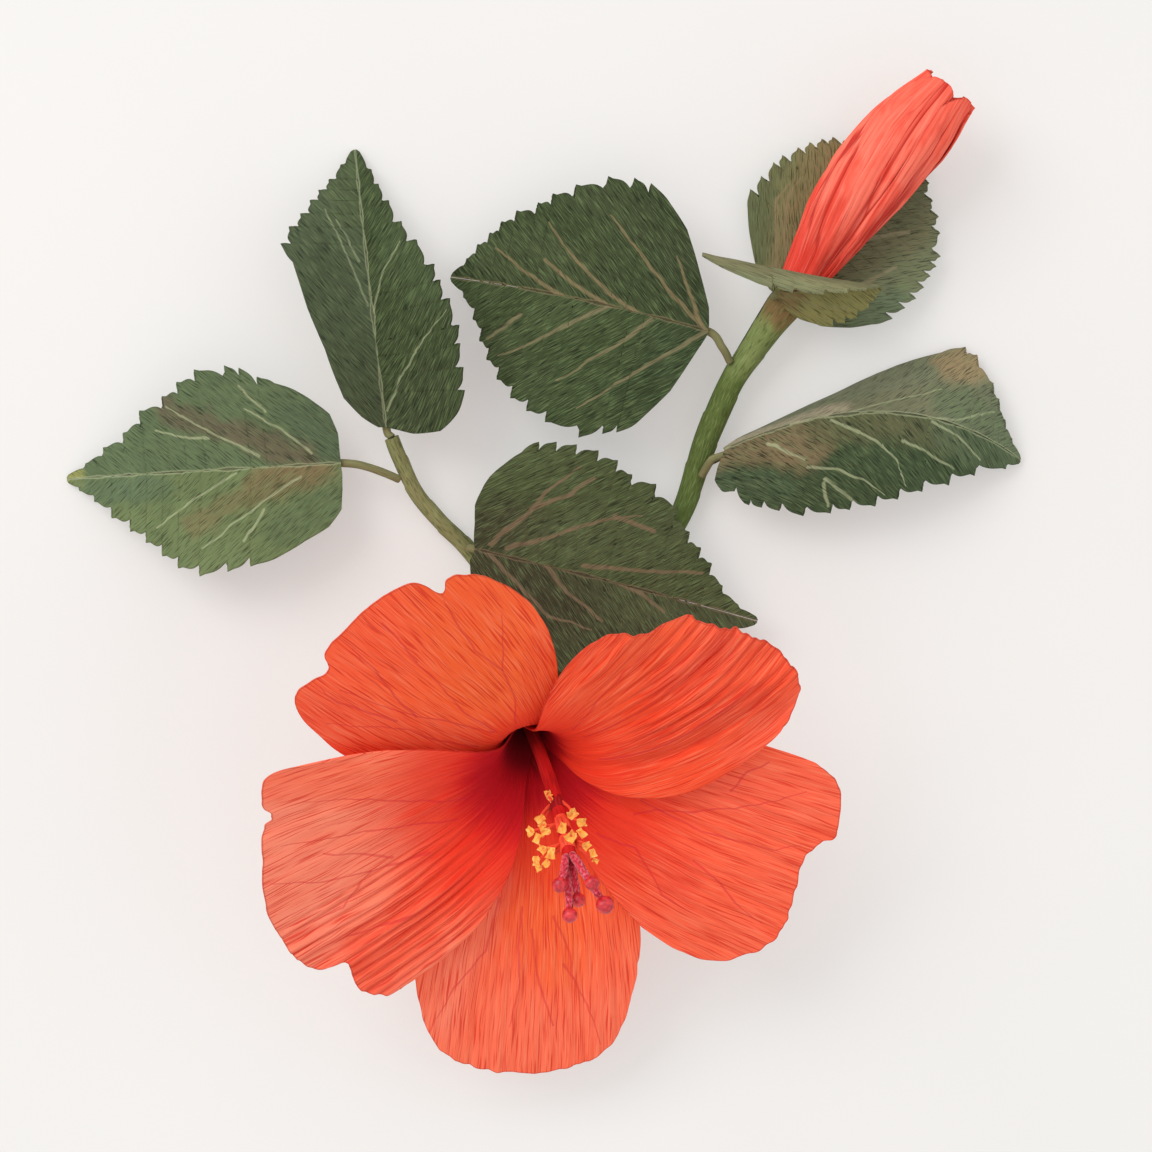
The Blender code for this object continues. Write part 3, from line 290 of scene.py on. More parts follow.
# Leaves
LEAF_PAPER = 0.4
TOOTH_DEPTH = 2.2
TOOTH_SWELL = 0.42
BASE_SWELL = 0.15
LAST_BASE_SWELL = 0.4
TOOTH_HOOK_WIDTH = 35.0
LEAF_WAVE = (11.0, 40.0)
LEAF_WAVE_WIDTH = 14.0
NOTCH_SHARE = 0.18
FULL_TOOTH_WIDTH = 12.0
LEAF_END_WIDTH = 0.9
SEAM_GAP = 0.06
TOOTH_HOOK = 0.004
Half = namedtuple("Half", "width lobe fold margin base tips reach", defaults=((0, 0, 0),))
Leaf = namedtuple("Leaf", "base tip arch bow wire_shift left right stalk")
LEAVES = {
    "leaf_far_left": Leaf(
        (-50.0, 25.7, 11.0), (-119.0, 22.0, 0.6), 2.5, 0.0, 0.0,
        Half(26.5, 1.5, (14, 14), (24, 10),
             ((0.0, 3.0), (0.014, 11.9), (0.057, 16.3), (0.136, 19.8), (0.22, 23.4)),
             ((0.31, 25.2), (0.39, 26.2), (0.49, 26.9), (0.57, 24.4), (0.63, 21.0),
              (0.69, 17.4), (0.75, 14.2), (0.82, 10.6), (0.89, 6.2), (0.95, 3.2))),
        Half(26.5, 0.0, (14, 14), (24, 10),
             ((0.0, 7.4), (0.021, 12.4), (0.079, 16.3), (0.136, 19.3), (0.2, 21.2)),
             ((0.25, 22.8), (0.31, 25.4), (0.36, 26.2), (0.47, 25.6), (0.54, 22.6),
              (0.60, 19.2), (0.69, 15.9), (0.76, 10.6), (0.845, 7.2), (0.92, 3.6))),
        ((-43.4, 24.7, 9.5), (-38.4, 22.9, 7.9), (-35.8, 21.8, 6.7))),
    "leaf_upper_left": Leaf(
        (-38.9, 34.6, 9.8), (-47.1, 104.2, 0.6), 4.5, 0.0, 0.0,
        Half(21.5, 0.0, (26, 26), (44, 30),
             ((0.0, 2.0), (0.036, 6.4), (0.1, 10.8), (0.271, 14.4), (0.414, 18.1),
              (0.579, 20.4)),
             ((0.636, 22.9), (0.70, 20.0), (0.75, 16.2), (0.80, 13.2), (0.84, 10.6),
              (0.88, 7.8), (0.94, 4.2))),
        Half(25.0, 5.0, (24, 24), (44, 30),
             ((0.0, 7.5), (0.021, 15.4), (0.064, 21.0)),
             ((0.114, 24.5), (0.171, 25.0), (0.236, 25.1), (0.29, 25.2), (0.38, 23.0),
              (0.45, 20.4), (0.51, 18.8), (0.61, 14.4), (0.69, 10.6), (0.78, 7.6),
              (0.85, 5.3), (0.91, 3.9))),
        ((-37.65, 32.35, 8.57),)),
    "leaf_upper_middle": Leaf(
        (40.7, 58.2, 13.0), (-23.0, 72.1, 5.0), 3.0, -1.0, 0.0,
        Half(31.5, 0.0, (6, 6), (14, 2),
             ((0.0, 1.2), (0.021, 5.3), (0.086, 17.1), (0.179, 27.0)),
             ((0.236, 30.2), (0.286, 31.4), (0.37, 33.6), (0.507, 31.6), (0.586, 29.8),
              (0.657, 27.4), (0.725, 23.4), (0.78, 19.0), (0.825, 14.6), (0.87, 9.6),
              (0.93, 4.6))),
        Half(34.0, 0.0, (6, 6), (14, 2),
             ((0.0, 1.3), (0.014, 5.7), (0.086, 15.2), (0.15, 22.8), (0.229, 27.9)),
             ((0.307, 31.4), (0.372, 31.8), (0.47, 30.8), (0.585, 27.2), (0.665, 24.0),
              (0.715, 21.2), (0.79, 18.4), (0.84, 15.2), (0.875, 12.0), (0.915, 8.8),
              (0.95, 5.0))),
        ((44.2, 54.3, 11.8), (46.2, 50.9, 9.6))),
    "leaf_centre": Leaf(
        (-16.9, 4.4, 9.6), (53.0, -13.4, 10.0), 2.0, 0.5, 0.0,
        Half(31.5, 7.0, (6, 6), (12, 4),
             ((0.0, 1.2), (0.014, 6.5), (0.021, 10.6), (0.043, 14.7), (0.064, 18.2),
              (0.107, 22.9), (0.14, 26.0)),
             ((0.171, 29.2), (0.215, 30.2), (0.27, 30.8), (0.335, 30.6), (0.40, 29.4),
              (0.455, 26.8), (0.54, 26.0), (0.63, 21.8), (0.69, 16.6), (0.74, 13.6),
              (0.79, 10.6), (0.85, 6.0), (0.92, 2.6))),
        Half(24.0, 2.0, (4, 4), (6, 2),
             ((0.0, 3.0), (0.05, 11.0), (0.15, 22.0), (0.26, 26.6)),
             ((0.36, 26.8), (0.46, 24.6), (0.54, 22.0), (0.62, 19.5), (0.70, 16.2),
              (0.78, 12.2), (0.86, 8.0), (0.93, 4.4))),
        ((-17.8, 4.6, 7.0), (-18.3, 4.6, 5.4))),
    "leaf_right": Leaf(
        (44.9, 29.1, 12.5), (119.0, 26.7, 1.5), 14.0, 10.0, -1.6,
        Half(25.0, 0.0, (-84, 4), (-114, -6),
             ((0.0, 2.0), (0.08, 10.0), (0.25, 16.0), (0.45, 20.5), (0.614, 22.0),
              (0.729, 22.6)),
             ((0.80, 24.0), (0.835, 21.8), (0.885, 15.0), (0.905, 11.6), (0.93, 7.0),
              (0.96, 3.6))),
        Half(26.0, 4.0, (-12, -12), (-34, -12),
             ((0.0, 4.4), (0.007, 8.3), (0.036, 12.1)),
             ((0.064, 13.4), (0.114, 18.7), (0.15, 20.4), (0.20, 22.5), (0.27, 25.2),
              (0.35, 25.6), (0.407, 25.0), (0.486, 24.0), (0.557, 21.6), (0.636, 18.6),
              (0.729, 15.2), (0.82, 10.3), (0.94, 4.6))),
        ((41.8, 26.6, 10.0), (39.4, 22.7, 7.1))),
    "leaf_under_bud": Leaf(
        (59.4, 66.6, 3.6), (93.0, 107.5, 1.4), 0.6, 0.0, 0.0,
        Half(24.0, 0.0, (5, 5), (12, 10),
             ((0.0, 4.0), (0.036, 9.9), (0.136, 16.6), (0.221, 21.1)),
             ((0.29, 23.4), (0.37, 23.4), (0.457, 23.2), (0.51, 22.6), (0.586, 20.8),
              (0.64, 19.4), (0.69, 17.6), (0.73, 15.8), (0.79, 12.0), (0.86, 8.0),
              (0.93, 4.4))),
        Half(26.0, 0.0, (5, 5), (10, 8),
             ((0.0, 6.8), (0.021, 12.1), (0.093, 17.5), (0.171, 21.4)),
             ((0.243, 24.2), (0.32, 25.0), (0.386, 25.6), (0.45, 25.4), (0.51, 24.8),
              (0.564, 24.4), (0.614, 23.6), (0.70, 19.8), (0.757, 16.9), (0.80, 13.2),
              (0.857, 9.8), (0.914, 7.0), (0.96, 4.0))),
        ((58.2, 64.2, 2.4), (57.4, 61.8, 4.4))),
    "leaf_bract": Leaf(
        (57.6, 67.4, 19.0), (83.0, 68.9, 20.5), 0.0, 0.0, -0.6,
        Half(13.0, 0.0, (112, 104), (118, 110),
             ((0.0, 2.0), (0.1, 6.5), (0.25, 10.5)),
             ((0.34, 12.2), (0.45, 12.9), (0.62, 12.7), (0.76, 10.8), (0.88, 7.2)),
             (-18.5, 9.5, 0)),
        Half(10.0, 0.0, (-20, -20), (-34, -26),
             ((0.0, 1.5), (0.08, 5.0), (0.2, 7.6), (0.36, 9.4)),
             ((0.50, 10.2), (0.62, 9.6), (0.74, 8.2), (0.86, 5.4), (0.94, 3.0))),
        ((56.9, 66.4, 14.6),)),
}

# How each half blade is painted: its ground colour, washes as (from, to, width, colour,
# strength) and veins, in mm along the midrib and out from it
# The second last field is the pale colour of the painted highlight on the crepe's raised fibres.
Tint = namedtuple("Tint", "ground washes veins vein_colour strength fibre width",
                  defaults=(ink(122, 142, 94), 0.85))
TAN = ink(134, 118, 88)
PALE_VEIN = ink(174, 182, 142)
LEAF_TINTS = {
    "leaf_far_left_half_1": Tint(
        ink(110, 124, 82),
        (((5, 1), (20, 5), 6, ink(130, 108, 76), 0.9), ((20, 5), (36, 14), 5, ink(122, 112, 76), 0.8),
         ((66, 1), (69, 0), 3, ink(170, 168, 96), 0.9), ((2, 10), (14, 16), 8, ink(84, 100, 70), 0.7),
         ((46, 4), (66, 3), 6, ink(86, 106, 82), 0.7)),
        (((10, 3), (18, 8), (34, 20)), ((26, 1), (36, 7), (46, 14)),
         ((19, 11), (24, 19))), PALE_VEIN, 0.55, width=0.5),
    "leaf_far_left_half_2": Tint(
        ink(100, 118, 84),
        (((8, 2), (42, 16), 5, ink(112, 98, 80), 0.9), ((66, 1), (69, 0), 3, ink(170, 168, 96), 0.9),
         ((0, 6), (8, 12), 9, ink(80, 98, 74), 0.7)),
        (((20, 3), (32, 10), (42, 17)), ((7, 3), (12, 8), (22, 15)),
         ((17, 14), (23, 21)), ((32, 8), (39, 9), (45, 11))),
        PALE_VEIN, 0.65, width=0.5),
    "leaf_upper_left_half_1": Tint(
        ink(84, 96, 70),
        (((4, 4), (40, 12), 9, ink(72, 82, 58), 0.6), ((54, 4), (70, 1), 7, ink(88, 100, 66), 0.6)),
        (((30, 1), (39, 4), (55, 10)), ((41, 2), (52, 7))),
        PALE_VEIN, 0.4, width=0.5),
    "leaf_upper_left_half_2": Tint(
        ink(62, 74, 44),
        (((30, 14), (60, 4), 9, ink(74, 88, 56), 0.6), ((0, 4), (10, 14), 8, ink(58, 66, 42), 0.6)),
        (((28, 0), (37, 4), (44, 10)), ((4, 1), (12, 6), (20, 14), (25, 22))),
        PALE_VEIN, 0.45, width=0.5),
    "leaf_upper_middle_half_1": Tint(
        ink(62, 76, 44),
        (((4, 2), (14, 20), 9, ink(52, 66, 40), 0.6), ((30, 4), (60, 8), 12, ink(72, 84, 50), 0.5),
         ((40, 20), (60, 10), 8, ink(66, 76, 46), 0.5)),
        (((0, 0), (8, 8), (17, 17), (27, 27)), ((14, 1), (19, 7), (26, 14), (33, 21)),
         ((25, 0), (33, 6), (40, 12), (49, 18)), ((46, 7), (49, 10), (53, 14))),
        ink(132, 122, 90), 0.75),
    "leaf_upper_middle_half_2": Tint(
        ink(62, 74, 44),
        (((2, 4), (20, 24), 9, ink(54, 64, 42), 0.6), ((30, 10), (55, 6), 9, ink(74, 84, 54), 0.5),
         ((10, 18), (34, 26), 7, ink(74, 82, 54), 0.4)),
        (((0, 0), (10, 6), (20, 14), (29, 22)), ((2, 1), (5, 6), (8, 11), (11, 16)),
         ((18, 0), (26, 3), (35, 9), (44, 17)), ((26, 0), (34, 3), (43, 8)),
         ((37, 0), (43, 2), (49, 5), (56, 9))), ink(138, 122, 88), 0.75),
    "leaf_centre_half_1": Tint(
        ink(76, 88, 54),
        (((0, 2), (10, 8), 10, ink(62, 58, 40), 0.8), ((16, 6), (44, 14), 10, ink(82, 92, 60), 0.5),
         ((48, 3), (68, 3), 6, ink(84, 92, 58), 0.5)),
        (((4, 2), (12, 11), (16, 19), (22, 26)), ((13, 13), (21, 19), (25, 24)),
         ((8, 2), (18, 7), (28, 14), (38, 18)), ((32, 16), (42, 15)),
         ((27, 2), (43, 5), (56, 8))), ink(128, 108, 84), 0.75),
    "leaf_centre_half_2": Tint(
        ink(72, 76, 50),
        (((0, 3), (24, 10), 12, ink(58, 52, 34), 0.8), ((40, 4), (66, 2), 8, ink(84, 92, 60), 0.5)),
        (((3, 0), (11, 5), (22, 12), (33, 13)), ((18, 0), (23, 4), (35, 10)),
         ((37, 0), (43, 1), (49, 4))), ink(128, 108, 84), 0.7),
    "leaf_right_half_1": Tint(
        ink(120, 124, 98),
        (((30, 2), (60, 8), 9, ink(124, 120, 92), 0.6), ((56, 6), (74, 3), 9, ink(100, 118, 86), 0.7),
         ((58, 18), (66, 22), 8, ink(158, 134, 98), 0.85),
         ((0, 2), (24, 3), 8, ink(184, 168, 142), 0.85)),
        (((28, 0), (39, 5), (53, 10)), ((49, 0), (55, 1), (67, 8))),
        PALE_VEIN, 0.45, width=0.5),
    "leaf_right_half_2": Tint(
        ink(66, 82, 54),
        (((0, 0), (20, 7), 8, ink(132, 114, 84), 0.9), ((24, 2), (52, 4), 7, ink(112, 108, 76), 0.7),
         ((2, 10), (14, 18), 7, ink(84, 104, 76), 0.6), ((54, 3), (73, 2), 8, ink(104, 118, 88), 0.7)),
        (((10, 3), (15, 7), (19, 10)), ((20, 12), (26, 14), (33, 17), (39, 21)),
         ((24, 17), (26, 24)), ((24, 16), (32, 23)),
         ((24, 1), (35, 7), (41, 12), (44, 18)), ((49, 1), (55, 2), (63, 6)),
         ((42, 7), (56, 11))), PALE_VEIN, 0.65, width=0.55),
    "leaf_under_bud_half_1": Tint(
        ink(136, 138, 94),
        (((10, 3), (44, 16), 12, ink(146, 128, 88), 0.85), ((2, 14), (16, 22), 8, ink(86, 98, 68), 0.8),
         ((24, 22), (32, 24), 5, ink(88, 96, 64), 0.5)),
        (((5, 6), (12, 12), (18, 17), (23, 17)), ((8, 5), (14, 11), (21, 15), (26, 16))),
        ink(150, 134, 100), 0.75),
    "leaf_under_bud_half_2": Tint(
        ink(120, 128, 96),
        (((2, 14), (16, 24), 8, ink(92, 110, 84), 0.7), ((14, 4), (34, 12), 9, ink(130, 122, 92), 0.6),
         ((36, 10), (50, 4), 8, ink(92, 104, 78), 0.6)),
        (((23, 5), (33, 14)), ((13, 12), (18, 14), (24, 17))),
        ink(152, 148, 116), 0.75),
    "leaf_bract_half_1": Tint(
        ink(128, 132, 96),
        (((0, 1), (6, 3), 6, ink(126, 118, 84), 0.6), ((10, 8), (26, 8), 5, ink(146, 148, 108), 0.7)),
        (), TAN, 0.5),
    "leaf_bract_half_2": Tint(
        ink(142, 138, 84),
        (((0, 1), (5, 3), 4, ink(128, 98, 66), 0.8), ((8, 5), (22, 5), 5, ink(150, 146, 90), 0.6)),
        (((2, 1), (9, 4), (18, 6)),), ink(142, 138, 96), 0.4),
}
LEAF_GRAIN = 42.0

# Bud
BUD_BASE = np.array((62.7, 68.6, 11.3))
BUD_TIP = np.array((100.1, 117.1, 22.0))
BUD_BOW = 2.0
BUD_PETALS = 5
BUD_PETAL_SPAN = 104.0
BUD_LAYER = 0.8
BUD_FLATNESS = 0.82
BUD_TWIST = 55.0
BUD_RADIUS = 9.0
BUD_GIRTH_SHIFT = 7.0
BUD_TIP_ROUND = 0.09
BUD_TIP_CURL = 1.6
BUD_EDGE_WIDTH = 16.0
# Pleats of the bud, as (height, width, lean, waves along it, and the width and depth of the painted shade
# in its crease)
BUD_PLEATS = ((1.5, 2.6, 0.8, 2.2, 0.13, 1.0), (0.7, 1.3, -0.6, 3.0, 0.12, 0.5))
BUD_PLEAT_MEAN = 0.9
BUD_PLEAT_SHARPNESS = 0.8
BUD_PROFILE = ((0.0, 4.2), (0.12, 5.6), (0.3, 8.2), (0.5, 9.7), (0.75, 9.9), (1.0, 8.0))


# Shapes

def smooth(low, high, value):
    """0 at low, 1 at high, and a smooth rise between them."""
    share = np.clip((value - low) / (high - low), 0.0, 1.0)
    return share * share * (3.0 - 2.0 * share)


def mix(start, end, share):
    return start + (end - start) * share


def read_smooth(values, place):
    """Read a row of values or points at a place from 0 to 1, on a smooth curve."""
    values = np.asarray(values, float)
    knots = np.concatenate((values[:1] * 2 - values[1:2], values, values[-1:] * 2 - values[-2:-1]))
    spot = np.clip(place, 0.0, 1.0) * (len(values) - 1)
    cell = np.minimum(spot.astype(int), len(values) - 2)
    t = (spot - cell).reshape(spot.shape + (1,) * (values.ndim - 1))
    before, start, end, after = (knots[cell + step] for step in range(4))
    return 0.5 * (2 * start + (end - before) * t
                  + (2 * before - 5 * start + 4 * end - after) * t ** 2
                  + (3 * start - before - 3 * end + after) * t ** 3)


def scatter(x, y, seed):
    """A fixed number from 0 to 1 for each whole pair."""
    wave = np.sin(x * 127.1 + y * 311.7 + seed * 74.7) * 43758.5453
    return wave - np.floor(wave)


def ripple(x, y, seed):
    """Smooth unevenness from -1 to 1 over a plane."""
    left, low = np.floor(x), np.floor(y)
    across, up = smooth(0.0, 1.0, x - left), smooth(0.0, 1.0, y - low)
    bottom = mix(scatter(left, low, seed), scatter(left + 1, low, seed), across)
    top = mix(scatter(left, low + 1, seed), scatter(left + 1, low + 1, seed), across)
    return mix(bottom, top, up) * 2.0 - 1.0


def crimps(grain, ridges, seed):
    """Uneven ridges across and along a grain, each (height, width, length, shift, seed)."""
    return sum(height * ripple(grain[:, 0] / width, grain[:, 1] / length + shift, seed + salt)
               for height, width, length, shift, salt in ridges)


def hill(value, middle, spread):
    """1 at the middle, and a smooth fall to 0 on both sides."""
    return np.exp(-((value - middle) / spread) ** 2)


def unit(vectors):
    return vectors / np.linalg.norm(vectors, axis=-1, keepdims=True)


def paper_maps(along, around, **others):
    """A sheet's flat map, its grain across and along, and any other maps."""
    return {"flat": np.stack((along, around), -1), "grain": np.stack((around, along), -1), **others}


def keep_mesh(name, mesh, material, replaced, slot, sharp=50.0):
    """Show a finished mesh as one of the spray's pieces."""
    mesh.name = name
    mesh.shade_smooth()
    mesh.set_sharp_from_angle(angle=math.radians(sharp))
    piece = bpy.data.objects.new(name, mesh)
    bpy.context.scene.collection.objects.link(piece)
    for finish in material if isinstance(material, (list, tuple)) else [material]:
        mesh.materials.append(finish)
    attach(piece, "root")
    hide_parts(*replaced)
    return piece


def surface_mesh(name, columns, rows, surface, closed=False, ends=False):
    """A grid laid on a surface: surface(across, along) gives its points in mm and its maps."""
    bm = bmesh.new()
    bmesh.ops.create_grid(bm, x_segments=columns, y_segments=rows, size=0.5)
    mesh = bpy.data.meshes.new(name)
    bm.to_mesh(mesh)
    bm.free()
    grid = np.empty(len(mesh.vertices) * 3)
    mesh.vertices.foreach_get("co", grid)
    grid = grid.reshape(-1, 3) + 0.5
    points, maps = surface(grid[:, 0], grid[:, 1])
    mesh.vertices.foreach_set("co", (points * MM).ravel())
    corners = np.empty(len(mesh.loops), np.int32)
    mesh.loops.foreach_get("vertex_index", corners)
    for map_name, values in maps.items():
        if values.ndim == 2:
            layer = mesh.uv_layers.new(name=map_name)
            layer.uv.foreach_set("vector", (values[corners] / MAP_UNIT).astype(np.float32).ravel())
        else:
            attribute = mesh.attributes.new(map_name, "FLOAT", "POINT")
            attribute.data.foreach_set("value", values.astype(np.float32))
    mesh.update()
    if closed:
        bm = bmesh.new()
        bm.from_mesh(mesh)
        bmesh.ops.remove_doubles(bm, verts=bm.verts, dist=WELD_DISTANCE * MM)
        if ends:
            bmesh.ops.holes_fill(bm, edges=[edge for edge in bm.edges if edge.is_boundary], sides=0)
        bmesh.ops.recalc_face_normals(bm, faces=bm.faces)
        bm.to_mesh(mesh)
        bm.free()
    return mesh


def thicken(mesh, thickness):
    """Give a sheet the thickness of its paper."""
    sheet = bpy.data.objects.new("sheet", mesh)
    bpy.context.scene.collection.objects.link(sheet)
    wall = sheet.modifiers.new("paper", "SOLIDIFY")
    wall.thickness = thickness * MM
    wall.offset = 0.0
    wall.use_even_offset = False
    bpy.context.view_layer.update()
    depsgraph = bpy.context.evaluated_depsgraph_get()
    thick = bpy.data.meshes.new_from_object(sheet.evaluated_get(depsgraph))
    bpy.data.objects.remove(sheet, do_unlink=True)
    bpy.data.meshes.remove(mesh)
    return thick


def rod_mesh(name, route, radii, sides, rows, relief=None, bore=0.0, end_round=CAP_ROUND):
    """A wrapped rod along a smooth route. With a bore, its ends are open onto a wire."""
    fine = np.linspace(0.0, 1.0, ROD_SAMPLES)
    line = read_smooth(route, fine)
    lengths = np.concatenate(([0.0], np.cumsum(np.linalg.norm(np.diff(line, axis=0), axis=1))))
    total = lengths[-1]
    ahead = unit(np.gradient(line, axis=0))
    side = unit(np.cross(UP, ahead))
    face = np.cross(ahead, side)
    width = np.interp(fine, np.linspace(0.0, 1.0, len(radii)), radii)
    lip = BORE_ROWS if bore else CAP_ROWS

    def surface(across, along):
        step = np.rint(along * (rows + 2 * lip)).astype(int)
        where = np.clip((step - lip) / rows, 0.0, 1.0) * total
        thick = np.interp(where, lengths, width)
        past = np.maximum(np.maximum(lip - step, step - lip - rows), 0) / lip
        if bore:
            radius = mix(thick, bore, np.interp(past, BORE_STEPS, (0.0, 0.25, 1.0, 1.0)))
            depth = np.interp(past, BORE_STEPS, (0.0, 0.0, 0.0, BORE_DEPTH))
            where = np.where(past > 0, np.abs(np.where(step < lip, 0.0, total) - depth), where)
        else:
            radius = np.maximum(thick * np.sqrt(np.maximum(1.0 - past ** 2, 0.0)), thick * CAP_TIP)
            bulge = end_round * thick * past
            where = np.where(step < lip, -bulge, np.where(step > lip + rows, total + bulge, where))
        angle = across * math.tau
        inside = np.clip(where, 0.0, total)
        centre, right, up = (
            np.stack([np.interp(inside, lengths, values[:, axis]) for axis in range(3)], axis=-1)
            for values in (line, side, face))
        centre = centre + unit(np.cross(right, up)) * (where - inside)[:, None]
        if relief is not None:
            radius = radius + relief(angle, where, thick) * (1.0 - np.minimum(past * 2, 1.0))
        out = right * np.cos(angle)[:, None] + up * np.sin(angle)[:, None]
        return centre + out * radius[:, None], paper_maps(where, angle * np.mean(radii))

    return surface_mesh(name, sides, rows + 2 * lip, surface, closed=True, ends=True)


# Flower surfaces

def flower_frame():
    up = unit(np.array((0.0, 1.0, 0.0)) - FLOWER_AXIS * FLOWER_AXIS[1])
    return np.cross(up, FLOWER_AXIS), up


def away_from_axis(around):
    """The directions square to the flower's axis at some angles round it, in degrees."""
    right, up = flower_frame()
    angle = np.radians(around)
    return np.cos(angle)[:, None] * right + np.sin(angle)[:, None] * up


def trumpet_angle(along):
    opened = smooth(THROAT_LENGTH, FLARE_END, along)
    past = np.maximum((along - FLARE_END) / (RIM_LENGTH - FLARE_END), 0.0)
    return np.radians(mix(THROAT_ANGLE, FLARE_ANGLE, opened) + (RIM_ANGLE - FLARE_ANGLE) * past)


def flower_point(along, around, forward):
    """A point of the trumpet, moved forward off its inner face by a distance."""
    steps = np.arange(0.0, TRUMPET_REACH, TRUMPET_STEP)
    angles = trumpet_angle(steps[:-1] + TRUMPET_STEP / 2)
    radii = THROAT_RADIUS + np.concatenate(([0.0], np.cumsum(np.sin(angles) * TRUMPET_STEP)))
    heights = np.concatenate(([0.0], np.cumsum(np.cos(angles) * TRUMPET_STEP)))
    outward = away_from_axis(around)
    lean = trumpet_angle(along)[:, None]
    face = FLOWER_AXIS * np.sin(lean) - outward * np.cos(lean)
    height = np.interp(along, steps, heights) + np.minimum(along, 0.0)
    return (FLOWER_BASE + FLOWER_AXIS * height[:, None]
            + outward * np.interp(along, steps, radii)[:, None] + face * forward[:, None])


def layer_distance(along):
    return mix(BASE_LAYER, OPEN_LAYER, smooth(LAYER_START, LAYER_LENGTH, along))


def petal_flat(look, around, along):
    """The petal's paper laid flat: x along its middle and y across, in mm."""
    turn = np.radians((np.asarray(around, float) - look.grain) * UNROLL)
    return np.stack((along * np.cos(turn), along * np.sin(turn)), -1)


def petal_grain(look, around, along):
    """Across and along the crepe's grain, which gathers at the throat, in mm."""
    turn = np.radians((around - look.grain - look.sweep * (along / RIM_LENGTH) ** 2) * UNROLL)
    return np.stack((np.sqrt(along ** 2 + GATHER ** 2) * np.sin(turn), along * np.cos(turn)), -1)


def petal_surface(petal, look, seed):
    rim = np.array(petal.rim, float)
    turn = math.copysign(1.0, petal.base[1] - petal.base[0])
    ridges = ((look.crimp, 1.5, 24.0, 0.0, 3), (look.pleat, 4.5, 60.0, 0.3, 5),
              (look.pleat * 0.5, 2.4, 40.0, 0.7, 8))

    def surface(across, share):
        edge = read_smooth(rim, across)
        ragged = RAGGED_EDGE * ripple(across * RAGGED_TEETH, 0.0 * across, seed) * share ** 4
        along = share * (edge[:, 1] + ragged)
        bulge = mix(*petal.bulge, across) * np.sin(math.pi * share)
        around = mix(mix(*petal.base, across), edge[:, 0], share) + bulge
        first, last = smooth(0.4, 0.0, across), smooth(0.6, 1.0, across)
        for side, angle, middle, spread in EDGE_SHIFTS:
            shift = max(side * petal.layer[1], 0) * last - max(side * petal.layer[0], 0) * first
            around = around + turn * shift * angle * hill(along, middle, spread)
        layer = mix(*petal.layer, across) * layer_distance(along)
        lift = petal.lift[0] * smooth(0.5, 0.0, across) + petal.lift[1] * smooth(0.5, 1.0, across)
        lift = lift * np.abs(np.sin(math.pi * share)) ** 1.5 * smooth(*LIFT_RISE, along)
        grain = petal_grain(look, around, along)
        place, length = grain[:, 0], grain[:, 1]
        relief = crimps(grain, ridges, seed)
        for middle, half_width, height, start in look.folds:
            relief += height * hill(place, middle, half_width) * smooth(start, start + FOLD_RISE, length)
        # Painted shade: this maps the valleys of the gathers, which the petal's paint darkens.
        hollow = 0.0 * along
        for low, high, pitch, height, start in look.gathers:
            phase = place / pitch + crimps(grain, GATHER_WANDER, seed)
            wave = np.sin(math.tau * phase) * smooth(start, start + GATHER_RISE, length)
            wave = wave * smooth(low - GATHER_MARGIN, low + GATHER_MARGIN, place)
            wave = wave * smooth(high + GATHER_MARGIN, high - GATHER_MARGIN, place)
            relief += height * wave
            hollow = np.maximum(hollow, np.maximum(-wave, 0.0) ** 3 * min(height * 3, 1.0))
        frill = look.frill * ripple(across * FRILL_WAVES, 0 * across, seed + 11) * smooth(0.7, 1.0, share)
        forward = layer + lift + petal.curl * share ** 4 + relief * smooth(*RELIEF_RISE, along) + frill
        width = np.abs(edge[:, 1]) * MARGIN_WIDTH_SHARE
        margin = np.minimum((1.0 - share) * edge[:, 1], np.minimum(across, 1 - across) * width)
        maps = {"flat": petal_flat(look, around, along), "grain": grain, "margin": margin,
                "hollow": hollow}
        return flower_point(along, around, forward), maps

    return surface


def column_point(share):
    right, _ = flower_frame()
    share = np.asarray(share, float)[..., None]
    return mix(FLOWER_BASE, COLUMN_TIP, share) + right * COLUMN_BOW * 4.0 * share * (1.0 - share)


def style_routes():
    """The five style arms in the part's own order, with each one's bead."""
    direction = unit(column_point(1.0) - column_point(0.98))
    tip = column_point(1.0)
    side = np.array(Vector(direction).orthogonal().normalized())
    other = np.cross(direction, side)

    def bearing(bead):
        return math.atan2((bead - tip) @ other, (bead - tip) @ side)

    order = sorted(((np.array(bead), radius) for bead, radius in STIGMAS),
                   key=lambda stigma: bearing(stigma[0]))
    middle = sum(bearing(bead) - math.tau * n / 5 for n, (bead, _) in enumerate(order)) / 5
    for number, (bead, radius) in enumerate(order):
        angle = middle + math.tau * number / 5
        outward = side * math.cos(angle) + other * math.sin(angle)
        seat = tip + direction * GLUE_GAP + outward * STYLE_RING
        elbow = mix(seat, bead, 0.5) + direction * ELBOW_RISE
        end = bead - unit(bead - elbow) * (radius + 0.05)
        rise = seat + direction * STYLE_RISE + outward * STYLE_SPREAD
        yield number + 1, (seat, rise, elbow, end), bead, radius


def calyx_offset(along):
    """How far the calyx lies behind the trumpet's inner face."""
    return layer_distance(np.maximum(along, 0.0)) + PETAL_PAPER / 2 + CALYX_PAPER / 2 + CALYX_GAP


def calyx_point(along, around):
    open_part = flower_point(np.maximum(along, 0.0), around, -calyx_offset(along))
    foot = PEDICEL_RADIUS + GLUE_GAP + CALYX_PAPER / 2
    brim = THROAT_RADIUS + calyx_offset(0.0 * along)
    radius = mix(brim, foot, -along / CALYX_DEPTH)
    tube = FLOWER_BASE + FLOWER_AXIS * along[:, None] + away_from_axis(around) * radius[:, None]
    return np.where(along[:, None] >= 0.0, open_part, tube)


# Leaf surfaces

